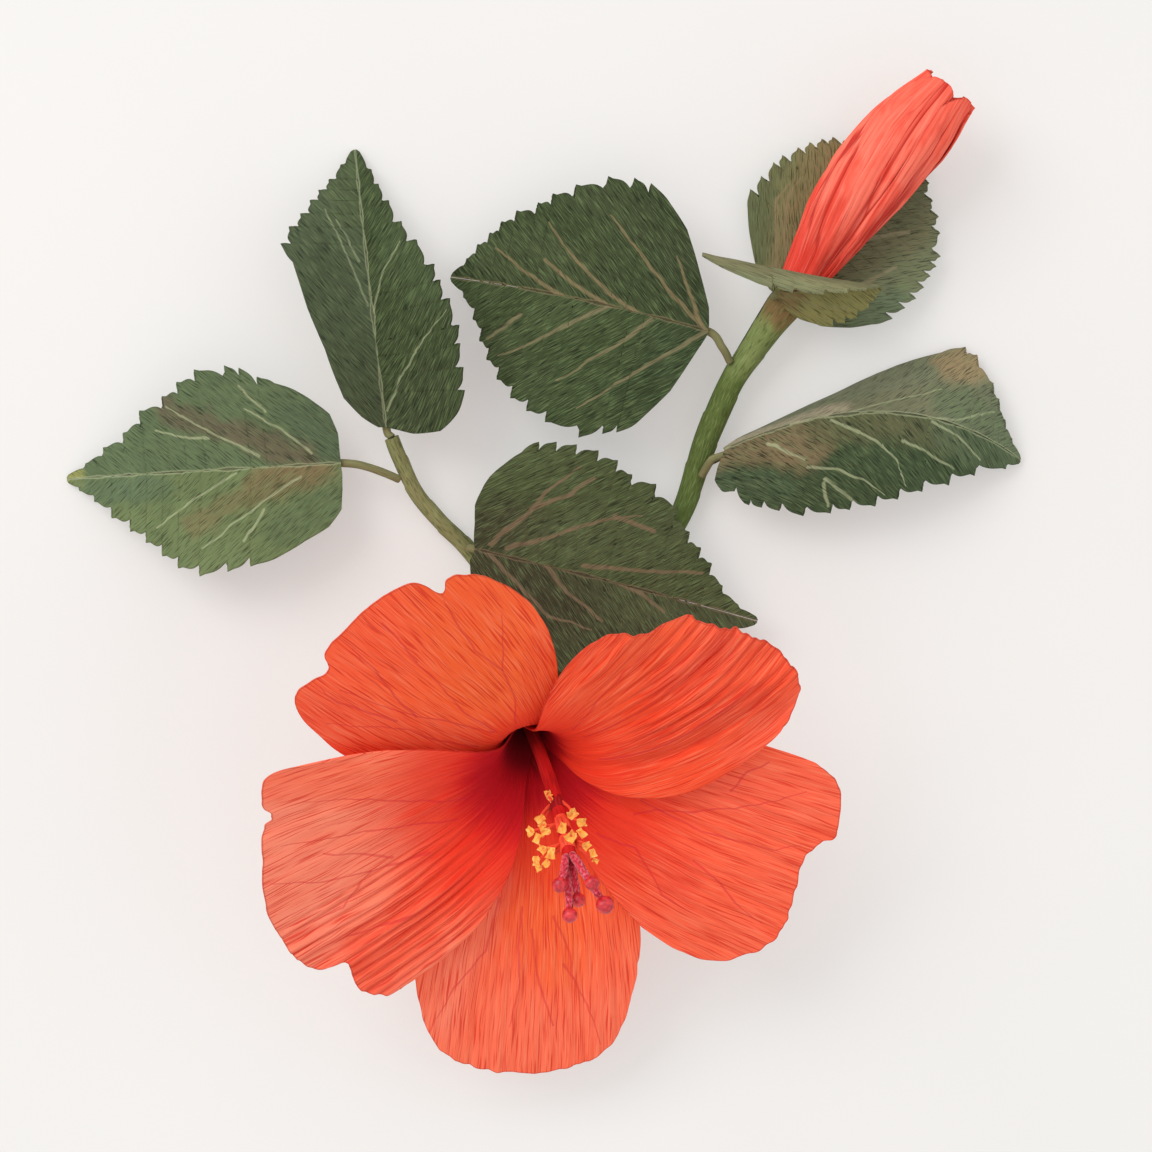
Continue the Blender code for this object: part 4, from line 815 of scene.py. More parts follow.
def leaf_frame(leaf):
    base, tip = np.array(leaf.base), np.array(leaf.tip)
    along = unit(tip - base)
    side = unit(np.cross(UP, along))
    return base, tip, along, side, np.cross(along, side)


def midrib_point(leaf, place, below=0.0, shift=0.0):
    base, tip, _, side, face = leaf_frame(leaf)
    place = np.asarray(place, float)[..., None]
    hump = 4.0 * place * (1.0 - place)
    return mix(base, tip, place) + side * (leaf.bow * hump + shift) + face * (leaf.arch * hump - below)


def leaf_length(leaf):
    return float(np.linalg.norm(np.array(leaf.tip) - np.array(leaf.base)))


def tooth_edge(half):
    """Places along the midrib and widths of the edge: each tooth swells and then drops."""
    places, widths = [], []

    def stretch(start, end, count, swell):
        for n in range(count):
            t = n / count
            places.append(mix(start[0], end[0], t))
            widths.append(mix(start[1], end[1], t) + swell * math.sin(math.pi * t) * (1.3 - t))

    for start, end in zip(half.base, half.base[1:]):
        stretch(start, end, 5, BASE_SWELL)
    stretch(half.base[-1], half.tips[0], 8, LAST_BASE_SWELL)
    tips = [*half.tips, (1.0, LEAF_END_WIDTH)]
    for (place, width), (following, next_width) in zip(tips, tips[1:]):
        depth = TOOTH_DEPTH * min(width / FULL_TOOTH_WIDTH, 1.0)
        notch_place = mix(place, following, NOTCH_SHARE)
        notch = max(mix(width, next_width, NOTCH_SHARE) - depth, LEAF_END_WIDTH)
        places.append(place + TOOTH_HOOK * depth)
        widths.append(width + TOOTH_HOOK * depth * TOOTH_HOOK_WIDTH)
        stretch((mix(place, notch_place, 0.5), mix(width, notch, 0.6)), (notch_place, notch), 1, 0.0)
        stretch((notch_place, notch), (following, next_width), 8, TOOTH_SWELL * depth)
    places.append(1.0)
    widths.append(LEAF_END_WIDTH * 0.5)
    return np.array(places), np.array(widths)


def half_blade_surface(leaf, half, hand, seed):
    places, widths = tooth_edge(half)
    length = leaf_length(leaf)
    grain_turn = math.radians(LEAF_GRAIN)
    _, _, forward, side, face = leaf_frame(leaf)

    def surface(across, out_share):
        column = np.rint(across * (len(places) - 1)).astype(int)
        place, edge = places[column], widths[column]
        width = mix(SEAM_GAP, edge, out_share)
        turn = place ** 1.5
        fold = np.radians(mix(*half.fold, turn))
        margin = np.radians(mix(*half.margin, turn))
        bend = (margin - fold) / half.width
        bend = np.where(np.abs(bend) < 1e-5, 1e-5, bend)
        out = (np.sin(fold + bend * width) - np.sin(fold)) / bend
        rise = (np.cos(fold) - np.cos(fold + bend * width)) / bend
        rest = 1.0 - place
        lobe = half.lobe * rest ** 6 * width / half.width * 2.0
        points = (midrib_point(leaf, place) + side * (hand * out)[:, None] + face * rise[:, None]
                  - forward * lobe[:, None] + np.array(half.reach) * (rest ** 1.3)[:, None])
        x, y = place * length, width
        grain = np.stack((y * math.cos(grain_turn) - x * math.sin(grain_turn),
                          x * math.cos(grain_turn) + y * math.sin(grain_turn)), -1)
        lift = fold + bend * width
        normal = face * np.cos(lift)[:, None] - side * (hand * np.sin(lift))[:, None]
        free = smooth(1.0, 8.0, width)
        relief = crimps(grain, LEAF_CRIMPS, seed) + crimps(grain, LEAF_PLEATS, seed) * free
        wave = LEAF_WAVE_WIDTH / half.width
        rolling = ripple(x / LEAF_WAVE[0] * wave, y / LEAF_WAVE[1], seed + 6)
        relief += wave * rolling * smooth(0.45, 1.0, out_share) * free
        margin_mm = np.minimum((1.0 - out_share) * edge, 9.0)
        maps = {"flat": np.stack((x, y), -1), "grain": grain, "margin": margin_mm}
        return points + normal * relief[:, None], maps

    return len(places) - 1, surface


# Bud surface

def bud_surface(number):
    axis = unit(BUD_TIP - BUD_BASE)
    side = unit(np.cross(axis, UP))
    face = np.cross(side, axis)
    places, radii = np.transpose(BUD_PROFILE)
    length = float(np.linalg.norm(BUD_TIP - BUD_BASE))

    def surface(across, share):
        rounded = BUD_TIP_ROUND * np.abs(2 * across - 1) ** 3
        place = share * (1.0 - rounded + 0.008 * ripple(across * 5, 0 * across, number))
        angle = np.radians(360.0 * number / BUD_PETALS + BUD_PETAL_SPAN * across + BUD_TWIST * place)
        arc = across * math.radians(BUD_PETAL_SPAN) * BUD_RADIUS
        girth = arc - BUD_GIRTH_SHIFT
        # The crease map only colours the bud: painted shade in the creases between the pleats.
        pleat, crease_shade = 0.0, 0.0
        for salt, (height, width, lean, waves, sharp, depth) in enumerate(BUD_PLEATS, start=1):
            ridge = np.abs(ripple(girth / width + lean * place, place * waves, number * 7 + salt))
            pleat = pleat + height * ridge ** BUD_PLEAT_SHARPNESS
            crease_shade = crease_shade + depth * hill(ridge, 0.0, sharp)
        pleat = pleat - BUD_PLEAT_MEAN + 0.14 * ripple(girth / 0.7, place * 6.0, number * 7 + 3)
        gathered = mix(0.35, 1.0, smooth(0.0, 0.5, place))
        radius = (np.interp(place, places, radii) + mix(-BUD_LAYER, BUD_LAYER, across)
                  - smooth(0.80, 1.0, place) * BUD_TIP_CURL
                  + pleat * gathered * smooth(0.0, 0.1, place))
        centre = (mix(BUD_BASE, BUD_TIP, place[:, None])
                  - side * (BUD_BOW * 4.0 * place * (1.0 - place))[:, None])
        points = (centre + side * (np.cos(angle) * radius)[:, None]
                  + face * (np.sin(angle) * radius * BUD_FLATNESS)[:, None])
        edge = np.minimum((1 - share) * length, np.minimum(across, 1 - across) * BUD_EDGE_WIDTH)
        return points, paper_maps(place * length, arc, margin=edge, hollow=np.clip(crease_shade, 0.0, 1.0))

    return surface


# Materials

FIBRE_SHARE = 0.28
DRAWN_SHAKE = 1.6
LOOSE_SHAKE = 7.0
THROAT_STREAK = 20.0
EVEN_SHARE = 0.45


class Nodes:
    """Adds nodes to one tree and joins them."""

    def __init__(self, tree):
        self.tree = tree

    def feed(self, socket, value):
        if isinstance(value, bpy.types.NodeSocket):
            self.tree.links.new(value, socket)
        elif value is not None:
            socket.default_value = value

    def add(self, kind, values=None, **settings):
        node = self.tree.nodes.new(kind)
        for name, setting in settings.items():
            setattr(node, name, setting)
        for name, value in (values or {}).items():
            self.feed(node.inputs[name], value)
        return node

    def math(self, operation, first, second=None, third=None, clamp=False):
        node = self.add("ShaderNodeMath", {0: first, 1: second, 2: third},
                        operation=operation, use_clamp=clamp)
        return node.outputs[0]

    def vector(self, operation, first, second=None, third=None, scale=None):
        node = self.add("ShaderNodeVectorMath", {0: first, 1: second, 2: third}, operation=operation)
        if scale is not None:
            self.feed(node.inputs["Scale"], scale)
        return node.outputs["Value" if operation in ("LENGTH", "DOT_PRODUCT") else "Vector"]

    def fade(self, value, low, high):
        """0 at low, 1 at high, and a smooth rise between them."""
        node = self.add("ShaderNodeMapRange", {"Value": value, "From Min": low, "From Max": high},
                        interpolation_type="SMOOTHSTEP")
        return node.outputs["Result"]

    def blend(self, share, first, second):
        node = self.add("ShaderNodeMix", {0: share, 6: first, 7: second}, data_type="RGBA")
        return node.outputs[2]

    def noise(self, vector, scale=1.0, detail=2.0, roughness=0.5):
        return self.add("ShaderNodeTexNoise", {"Vector": vector, "Scale": scale, "Detail": detail,
                                               "Roughness": roughness}).outputs

    def group(self, name, values):
        """One of the shared node groups, with its inputs fed."""
        return self.add("ShaderNodeGroup", values, node_tree=shared_group(name)).outputs

    def read(self, name):
        """One of the sheet's maps of single values."""
        return self.add("ShaderNodeAttribute", attribute_name=name).outputs["Fac"]

    def axis(self, vector, letter):
        return self.add("ShaderNodeSeparateXYZ", {0: vector}).outputs[letter]


def new_group(name, inputs, outputs):
    """The nodes of a new group, with its named inputs, as (name, kind, default), and outputs."""
    tree = bpy.data.node_groups.new(name, "ShaderNodeTree")
    for socket_name, kind, default in inputs:
        socket = tree.interface.new_socket(socket_name, in_out="INPUT",
                                           socket_type="NodeSocket" + kind)
        if default is not None:
            socket.default_value = default
    for socket_name, kind in outputs:
        tree.interface.new_socket(socket_name, in_out="OUTPUT", socket_type="NodeSocket" + kind)
    nodes = Nodes(tree)
    return nodes, nodes.add("NodeGroupInput").outputs, nodes.add("NodeGroupOutput").inputs


def crepe_group():
    """Crimped paper: long uneven ridges across the grain, their valleys, and soft clouds."""
    nodes, given, made = new_group(
        "crepe grain",
        (("Grain", "Vector", None), ("Pitch", "Float", 0.9), ("Length", "Float", 14.0),
         ("Wander", "Float", 1.5), ("Seed", "Float", 0.0)),
        (("Height", "Float"), ("Lines", "Float"), ("Fibres", "Float"), ("Cloud", "Float")))
    shifted = nodes.vector("ADD", given["Grain"], nodes.add(
        "ShaderNodeCombineXYZ", {"Z": given["Seed"]}).outputs[0])
    parts = nodes.add("ShaderNodeSeparateXYZ", {0: shifted}).outputs
    slow = nodes.noise(nodes.vector("MULTIPLY", shifted, (0.12, 0.045, 1.0)))[0]
    drift = nodes.math("MULTIPLY", nodes.math("SUBTRACT", slow, 0.5), given["Wander"])
    x = nodes.math("DIVIDE", nodes.math("ADD", parts["X"], drift), given["Pitch"])
    y = nodes.math("DIVIDE", parts["Y"], given["Length"])
    ridge_place = nodes.add("ShaderNodeCombineXYZ", {"X": x, "Y": y, "Z": parts["Z"]}).outputs[0]
    ridges = nodes.noise(ridge_place, detail=1.5)[0]
    fibre_place = nodes.vector("MULTIPLY_ADD", ridge_place, (1.2, 0.9, 1.0), (31.0, 17.0, 5.0))
    fibres = nodes.noise(fibre_place, roughness=0.55)[0]
    height = nodes.math("ADD", nodes.math("MULTIPLY", ridges, 1.0 - FIBRE_SHARE),
                        nodes.math("MULTIPLY", fibres, FIBRE_SHARE))
    cloud = nodes.noise(nodes.vector("MULTIPLY", shifted, (0.11, 0.06, 1.0)), detail=3.0)[0]
    nodes.feed(made["Height"], height)
    nodes.feed(made["Lines"], nodes.fade(height, 0.49, 0.37))
    nodes.feed(made["Fibres"], nodes.fade(fibres, 0.50, 0.66))
    nodes.feed(made["Cloud"], nodes.fade(cloud, 0.32, 0.68))


def stroke_group():
    """One brush stroke from a start to an end, with its own width at each."""
    nodes, given, made = new_group(
        "brush stroke",
        (("Point", "Vector", None), ("Start", "Vector", None), ("End", "Vector", None),
         ("Start Width", "Float", 1.0), ("End Width", "Float", 1.0), ("Hardness", "Float", 0.3)),
        (("Mask", "Float"),))
    way = nodes.vector("SUBTRACT", given["End"], given["Start"])
    away = nodes.vector("SUBTRACT", given["Point"], given["Start"])
    long = nodes.math("MAXIMUM", nodes.vector("DOT_PRODUCT", way, way), 0.0001)
    share = nodes.math("DIVIDE", nodes.vector("DOT_PRODUCT", away, way), long, clamp=True)
    near = nodes.vector("SCALE", way, scale=share)
    distance = nodes.vector("LENGTH", nodes.vector("SUBTRACT", away, near))
    wide = nodes.math("ADD", given["Start Width"], nodes.math(
        "MULTIPLY", share, nodes.math("SUBTRACT", given["End Width"], given["Start Width"])))
    hard = nodes.math("MULTIPLY", wide, given["Hardness"])
    nodes.feed(made["Mask"], nodes.fade(distance, wide, hard))


def vein_group():
    """A painted vein through four points, thick at its first and thin at its last."""
    nodes, given, made = new_group(
        "painted vein",
        (("Point", "Vector", None), ("A", "Vector", None), ("B", "Vector", None),
         ("C", "Vector", None), ("D", "Vector", None), ("Width", "Float", 0.8)),
        (("Mask", "Float"),))
    mask = None
    for start, end, first, last in (("A", "B", 1.0, 0.85), ("B", "C", 0.85, 0.65),
                                    ("C", "D", 0.65, 0.35)):
        part = nodes.group("brush stroke", {
            "Point": given["Point"], "Start": given[start], "End": given[end],
            "Start Width": nodes.math("MULTIPLY", given["Width"], first),
            "End Width": nodes.math("MULTIPLY", given["Width"], last)})[0]
        mask = part if mask is None else nodes.math("MAXIMUM", mask, part)
    nodes.feed(made["Mask"], mask)


def shared_group(name):
    """One of the spray's shared node groups, each built once."""
    if name not in bpy.data.node_groups:
        {"crepe grain": crepe_group, "brush stroke": stroke_group, "painted vein": vein_group}[name]()
    return bpy.data.node_groups[name]


class Surface(Nodes):
    """The nodes of a new material, with the values of its Principled surface."""

    def __init__(self, name, values):
        self.material = bpy.data.materials.new(name)
        self.material.use_nodes = True
        super().__init__(self.material.node_tree)
        self.surface = self.tree.nodes["Principled BSDF"].inputs
        for socket, value in values.items():
            self.feed(self.surface[socket], value)

    def bump(self, height, depth, strength=1.0):
        """Relief from a height, with its depth in mm."""
        bump = self.add("ShaderNodeBump", {"Height": height, "Distance": depth * MM,
                                           "Strength": strength})
        self.feed(self.surface["Normal"], bump.outputs[0])


class Paint(Surface):
    """One matt paper material: a ground colour with coats painted over it."""

    def __init__(self, name, ground, pitch, length, wander=1.5, seed=0.0, sheen=0.0):
        super().__init__(name, {"Specular IOR Level": 0.22, "Sheen Weight": sheen})
        self.colour = ground
        self.flat, self.grain = (
            self.vector("SCALE", self.add("ShaderNodeUVMap", uv_map=uv_map).outputs[0], scale=MAP_UNIT)
            for uv_map in ("flat", "grain"))
        self.crepe = self.group("crepe grain", {"Grain": self.grain, "Pitch": pitch, "Length": length,
                                                "Wander": wander, "Seed": seed})
        wobble = self.noise(self.vector("SCALE", self.flat, scale=0.16), detail=3.0)["Color"]
        shake = self.vector("MULTIPLY", self.vector("SUBTRACT", wobble, (0.5, 0.5, 0.5)),
                            (1.0, 1.0, 0.0))
        self.drawn, self.loose = (
            self.vector("ADD", self.flat, self.vector("SCALE", shake, scale=reach))
            for reach in (DRAWN_SHAKE, LOOSE_SHAKE))

    def coat(self, colour, mask, strength=1.0):
        """Paint a colour over what is there."""
        share = self.math("MULTIPLY", mask, strength) if strength != 1.0 else mask
        self.colour = self.blend(share, self.colour, colour)

    def fade_coat(self, colour, value, low, high, strength):
        """Paint a screen colour that sets in as a value passes from low to high."""
        self.coat(ink(*colour), self.fade(value, low, high), strength)

    def wash(self, start, end, width, colour, strength):
        """A broad soft brush stroke, streaked along the grain."""
        stroke = self.group("brush stroke", {
            "Point": self.loose, "Start": (*start, 0.0), "End": (*end, 0.0),
            "Start Width": width, "End Width": width, "Hardness": 0.3})[0]
        streak = self.math("MULTIPLY_ADD", self.crepe["Height"], 1.6, 0.2)
        self.coat(colour, self.math("MULTIPLY", stroke, streak, clamp=True), strength)

    def vein(self, points, width, colour, strength):
        """A thin painted line through up to four points, broken by the crepe."""
        ends = {socket: (*point, 0.0)
                for socket, point in zip_longest("ABCD", points, fillvalue=points[-1])}
        vein = self.group("painted vein", {"Point": self.drawn, **ends, "Width": width})[0]
        broken = self.math("MULTIPLY_ADD", self.crepe["Height"], 2.6, -0.4)
        self.coat(colour, self.math("MULTIPLY", vein, broken, clamp=True), strength)

    def margin(self, colour, width, strength):
        """The cut edge, a little darker or lighter than the sheet."""
        self.coat(colour, self.fade(self.read("margin"), width, width * 0.25), strength)

    def crimp(self, dark, light, dark_strength, light_strength, depth, strength=0.7):
        """Painted shade in the crepe's valleys, painted highlight on its raised fibres, and its relief.
        """
        self.coat(dark, self.crepe["Lines"], dark_strength)
        self.coat(light, self.crepe["Fibres"], light_strength)
        self.bump(self.crepe["Height"], depth, strength)

    def done(self):
        self.feed(self.surface["Base Color"], self.colour)
        rough = self.math("MULTIPLY_ADD", self.crepe["Cloud"], 0.12, 0.76)
        self.feed(self.surface["Roughness"], rough)
        return self.material


def darker(colour, share):
    return (*(value * share for value in colour[:3]), 1.0)


def petal_paper(name, look, seed):
    """Hand-painted crepe: a crimson throat, broad washes and thin magenta veins."""
    paint = Paint(name + "_paper", look.inner, pitch=0.42, length=13.0, wander=2.4, seed=seed)
    along = paint.vector("LENGTH", paint.flat)
    paint.coat(look.outer, paint.fade(along, 48.0, 84.0))
    for start, end, width, colour, strength in look.washes:
        paint.wash(petal_flat(look, *start), petal_flat(look, *end), width, colour, strength)
    paint.coat(ink(248, 84, 48), paint.crepe["Cloud"], 0.25)
    # Painted shade, a darker red in the valleys of the gathers.
    paint.coat(ink(206, 48, 28), paint.read("hollow"), 0.55)
    # Painted shade in the crepe's valleys and painted highlight on its raised fibres.
    paint.crimp(ink(214, 42, 24), ink(255, 150, 112), 0.75, 0.34, 0.34, 0.9)
    unevenness = paint.math("SUBTRACT", paint.crepe["Height"], 0.5)
    streaked = paint.math("MULTIPLY_ADD", unevenness, THROAT_STREAK, along)
    throat = look.throat
    paint.fade_coat((238, 50, 26), streaked, throat + 18, throat * 0.95, 0.8)
    # The coats below deepen the throat's crimson towards the hole; the two darkest are partly the paint's
    # own deep red and partly painted shade of the hole.
    for colour, start, full in (((228, 36, 26), 1.0, 0.70), ((190, 4, 24), 0.86, 0.62),
                                ((140, 6, 26), 0.50, 0.32), ((128, 12, 26), 0.28, 0.10)):
        paint.fade_coat(colour, streaked, throat * start, throat * full, 0.95)
    for points in look.veins:
        paint.vein([petal_flat(look, *point) for point in points], 0.55, ink(206, 32, 52), 0.5)
    paint.margin(ink(160, 44, 36), 0.45, 0.45)
    return paint.done()


def leaf_paper(name, tint, seed):
    """Two-tone olive crepe with brushed washes, veins and a midrib."""
    paint = Paint(name + "_paper", tint.ground, pitch=0.26, length=4.2, wander=1.6, seed=seed)
    for wash in tint.washes:
        paint.wash(*wash)
    paint.coat(darker(tint.ground, 0.62), paint.crepe["Cloud"], 0.35)
    # Painted shade in the crepe's valleys and painted highlight on its raised fibres.
    paint.crimp(darker(tint.ground, 0.22), tint.fibre, 0.80, 0.42, 0.30, 1.0)
    for points in tint.veins:
        paint.vein(points, tint.width, tint.vein_colour, tint.strength)
    across = paint.axis(paint.drawn, "Y")
    paint.coat(tint.vein_colour, paint.fade(across, 0.6, 0.2), 0.48)
    paint.fade_coat((52, 48, 32), across, 0.14, 0.06, 0.6)
    paint.margin(darker(tint.ground, 0.6), 0.4, 0.4)
    return paint.done()


def plain_paper(name, ground, dark, light, pitch, length, depth, seed, washes=(), light_strength=0.2):
    """Crepe of one colour, with a few washes and its crimp: painted shade in the valleys and painted
    highlight on the raised fibres.
    """
    paint = Paint(name, ground, pitch=pitch, length=length, seed=seed)
    for wash in washes:
        paint.wash(*wash)
    paint.coat(darker(ground, 0.75), paint.crepe["Cloud"], 0.3)
    paint.crimp(darker(ground, dark), light, 0.5, light_strength, depth)
    return paint.done()


def bud_paper(colour):
    """Coral crepe, with painted shade in the creases between its pleats and in the crepe's valleys, and
    painted highlight on its raised fibres.
    """
    paint = Paint("bud_paper", colour, pitch=0.6, length=14.0, wander=1.6, seed=4.0)
    cloud = paint.crepe["Cloud"]
    along = paint.axis(paint.flat, "X")
    paint.coat(ink(255, 130, 108), cloud, 0.5)
    paint.fade_coat((238, 72, 52), cloud, 0.55, 0.1, 0.65)
    paint.fade_coat((220, 50, 36), along, 28.0, 4.0, 0.8)
    paint.fade_coat((250, 98, 76), along, 46.0, 62.0, 0.6)
    # Painted shade in the creases between the pleats.
    paint.fade_coat((186, 36, 26), paint.read("hollow"), 0.2, 1.0, 0.9)
    paint.crimp(ink(205, 58, 42), ink(255, 166, 146), 0.5, 0.2, 0.26)
    paint.margin(ink(196, 62, 50), 0.45, 0.45)
    return paint.done()


def anther_paper(colour):
    """Yellow crepe bits, with a painted orange shade in their low parts and a painted highlight on their
    raised fibres.
    """
    paint = Paint("anther_paper", colour, pitch=0.7, length=1.5, wander=1.0, seed=6.0)
    paint.fade_coat((238, 130, 70), paint.crepe["Height"], 0.52, 0.38, 0.8)
    paint.coat(ink(255, 224, 140), paint.crepe["Fibres"], 0.5)
    paint.crimp(darker(colour, 0.5), colour, 0.2, 0.1, 0.12)
    return paint.done()


def bead_paint(colour):
    """Low-sheen crimson paint over a rolled paper bead."""
    nodes = Surface("bead_paint", {})
    place = nodes.add("ShaderNodeTexCoord").outputs["Object"]
    smear = nodes.noise(place, scale=900.0, detail=3.0)[0]
    nodes.feed(nodes.surface["Base Color"], nodes.blend(
        nodes.fade(smear, 0.35, 0.7), darker(colour, 0.72), ink(232, 58, 61)))
    nodes.feed(nodes.surface["Roughness"], nodes.math("MULTIPLY_ADD", smear, 0.25, 0.26))
    nodes.bump(smear, 0.12, 0.5)
    return nodes.material


def thread_paint(colour):
    """Fuzzy wound thread in magenta: pale fibres on its raised parts, partly their own colour and partly
    painted highlight, and painted shade in its low parts.
    """
    paint = Paint("style_thread", colour, pitch=0.5, length=0.9, wander=0.6, seed=2.0, sheen=0.4)
    paint.fade_coat((244, 112, 136), paint.crepe["Height"], 0.52, 0.64, 0.6)
    paint.fade_coat((120, 8, 28), paint.crepe["Height"], 0.46, 0.34, 0.8)
    paint.crimp(ink(130, 12, 34), ink(250, 170, 190), 0.3, 0.25, 0.3, 1.0)
    return paint.done()


def wire_steel():
    """Drawn florist's wire, seen only at the stems' ends."""
    nodes = Surface("stem_wire_steel", {"Metallic": 1.0})
    place = nodes.add("ShaderNodeTexCoord").outputs["Object"]
    drawn = nodes.noise(nodes.vector("MULTIPLY", place, (2500.0, 300.0, 2500.0)), detail=3.0)[0]
    nodes.feed(nodes.surface["Base Color"],
               nodes.blend(drawn, ink(120, 120, 118), ink(176, 176, 172)))
    nodes.feed(nodes.surface["Roughness"], nodes.math("MULTIPLY_ADD", drawn, 0.3, 0.28))
    return nodes.material


def core_paper(colour):
    """Rolled tissue inside the bud, in object space because the CAD solid has no maps."""
    nodes = Surface("bud_core_tissue", {"Specular IOR Level": 0.2, "Roughness": 0.85})
    place = nodes.add("ShaderNodeTexCoord").outputs["Object"]
    creases = nodes.noise(nodes.vector("MULTIPLY", place, (420.0, 420.0, 900.0)), detail=4.0)[0]
    # Darker in the low parts of the creases: painted shade.
    nodes.feed(nodes.surface["Base Color"],
               nodes.blend(nodes.fade(creases, 0.35, 0.65), darker(colour, 0.78), colour))
    nodes.bump(creases, 0.3)
    return nodes.material


def table_paint(colour):
    """A pale table top that looks its own colour and keeps the spray's shadow."""
    nodes = Surface("table_paint", {"Specular IOR Level": 0.1, "Roughness": 0.9})
    place = nodes.add("ShaderNodeTexCoord").outputs["Object"]
    tone = nodes.noise(place, scale=7.0)[0]
    ray = nodes.add("ShaderNodeLightPath").outputs
    seen = nodes.math("MAXIMUM", ray["Is Camera Ray"], nodes.math(
        "MAXIMUM", ray["Is Glossy Ray"], ray["Is Transmission Ray"]))
    even = nodes.math("MULTIPLY", seen, EVEN_SHARE)
    ground = nodes.blend(nodes.fade(tone, 0.3, 0.7), darker(colour, 0.985), colour)
    nodes.feed(nodes.surface["Base Color"], nodes.blend(even, ground, BLACK))
    nodes.feed(nodes.surface["Emission Color"], ground)
    nodes.feed(nodes.surface["Emission Strength"], even)
    return nodes.material


# Settings that a user would change

def colour_property(name, description, default):
    return FloatVectorProperty(name=name, description=description, default=default, size=4,
                               subtype="COLOR", min=0.0, max=1.0)


def length_property(name, description, default):
    return FloatProperty(name=name, description=description, default=default, min=0.0,
                         subtype="DISTANCE", unit="LENGTH")


class HibiscusPaper(bpy.types.PropertyGroup):
    """Papers, paints and thicknesses of the spray."""
    petal_thickness: length_property("Petal paper", "Thickness of the petals' crepe", PETAL_PAPER * MM)
    leaf_thickness: length_property("Leaf paper", "Thickness of the leaves' crepe", LEAF_PAPER * MM)
    calyx_thickness: length_property("Calyx paper", "Thickness of the calyx and bracts",
                                     CALYX_PAPER * MM)
    column_colour: colour_property("Column", "Red crepe wound round the stamen column",
                                   ink(200, 24, 24))
    filament_colour: colour_property("Filaments", "Orange-red fringe that carries the anthers",
                                     ink(244, 84, 56))
    anther_colour: colour_property("Anthers", "Folded yellow paper bits", ink(246, 176, 78))
    style_colour: colour_property("Styles", "Wound magenta thread", ink(206, 28, 54))
    bead_colour: colour_property("Stigma beads", "Crimson painted beads", ink(206, 34, 52))
    calyx_colour: colour_property("Calyx", "Green crepe behind the flower", ink(112, 124, 70))
    stem_colour: colour_property("Stem wrap", "Green crepe wound on the stems", ink(100, 118, 60))
    stalk_colour: colour_property("Leaf stalks", "Olive crepe wound on the leaf wires",
                                  ink(126, 124, 84))
    bud_colour: colour_property("Bud", "Coral crepe of the rolled bud", ink(245, 104, 82))
    core_colour: colour_property("Bud core", "Rolled tissue inside the bud", ink(226, 220, 208))


class HibiscusStage(bpy.types.PropertyGroup):
    """Table, light and camera."""
    floor_colour: colour_property("Table", "Plain pale table top", ink(238, 236, 233))
    key_power: FloatProperty(name="Window light", description="Power of the large soft lamp",
                             default=15.0, min=0.0, unit="POWER")
    key_size: length_property("Window size", "Width of the soft lamp", 1.1)
    sky_strength: FloatProperty(name="Room light", description="Strength of the even light all round",
                                default=0.87, min=0.0)
    camera_height: length_property("Camera height", "Height of the camera above the table", 1.0)
    focal_length: FloatProperty(name="Focal length", description="Focal length of the camera",
                                default=125.0, min=1.0, unit="CAMERA")


# Operators

PETAL_GRID = (256, 64)
CALYX_COLUMNS = 160
BRACT_COLUMNS = 144
CALYX_ROWS = 36
LEAF_ROWS = 28
BUD_GRID = (72, 90)
TABLE_REACH = 3.0
WINDOW_PLACE = (-0.95, 0.85, 1.35)
WINDOW_AIM = (0.0, 0.0, 0.02)
SENSOR_WIDTH = 36.0
CAMERA_PLACE = (0.008125, -0.00225)


class HIBISCUS_OT_petals(bpy.types.Operator):
    """Cut, crimp and paint the five open petals"""
    bl_idname = "hibiscus.petals"
    bl_label = "Petals"

    def execute(self, context):
        paper = context.scene.hibiscus_paper
        for seed, (name, petal) in enumerate(PETALS.items(), start=1):
            look = LOOKS[name]
            sheet = surface_mesh(name, *PETAL_GRID, petal_surface(petal, look, seed * 13))
            slot = "petal_orange" if "top" in name else "petal_coral"
            keep_mesh(name + "_crepe", thicken(sheet, paper.petal_thickness / MM),
                      petal_paper(name, look, seed * 5.0), [name], slot)
        return {"FINISHED"}


class HIBISCUS_OT_stamens(bpy.types.Operator):
    """Wind the stamen column and glue on its fringes of anthers"""
    bl_idname = "hibiscus.stamens"
    bl_label = "Stamens"

    def execute(self, context):
        paper = context.scene.hibiscus_paper
        route = column_point(np.linspace(0.0, 1.0, 9))

        def wound(angle, where, thick):
            return 0.10 * ripple(angle * 2.4 + where * 0.25, where / 9, 31)

        column = rod_mesh("column", route, np.linspace(COLUMN_FOOT_RADIUS, COLUMN_TIP_RADIUS, 9),
                          28, 110, wound)
        # The dark crimson wash at the column's foot, down in the throat, is partly the paint's own red
        # and partly painted shade.
        wound_paper = plain_paper("column_paper", paper.column_colour, 0.45, ink(236, 70, 60), 0.7,
                                  9.0, 0.2, 3.0, (((0, 5), (9, 5), 11, ink(130, 6, 22), 0.9),))
        keep_mesh("stamen_column_crepe", column, wound_paper, ["stamen_column"], "column_red")
        filaments = plain_paper("filament_paper", paper.filament_colour, 0.5, ink(255, 150, 110),
                                0.5, 5.0, 0.15, 5.0)
        anthers = anther_paper(paper.anther_colour)
        for name, (share, bits) in FRINGES.items():
            collar = filaments if share > 0.7 else wound_paper
            keep_mesh(name + "_crepe", fringe_mesh(name, share, bits), (filaments, anthers, collar),
                      [name], "anther_yellow", 35.0)
        return {"FINISHED"}


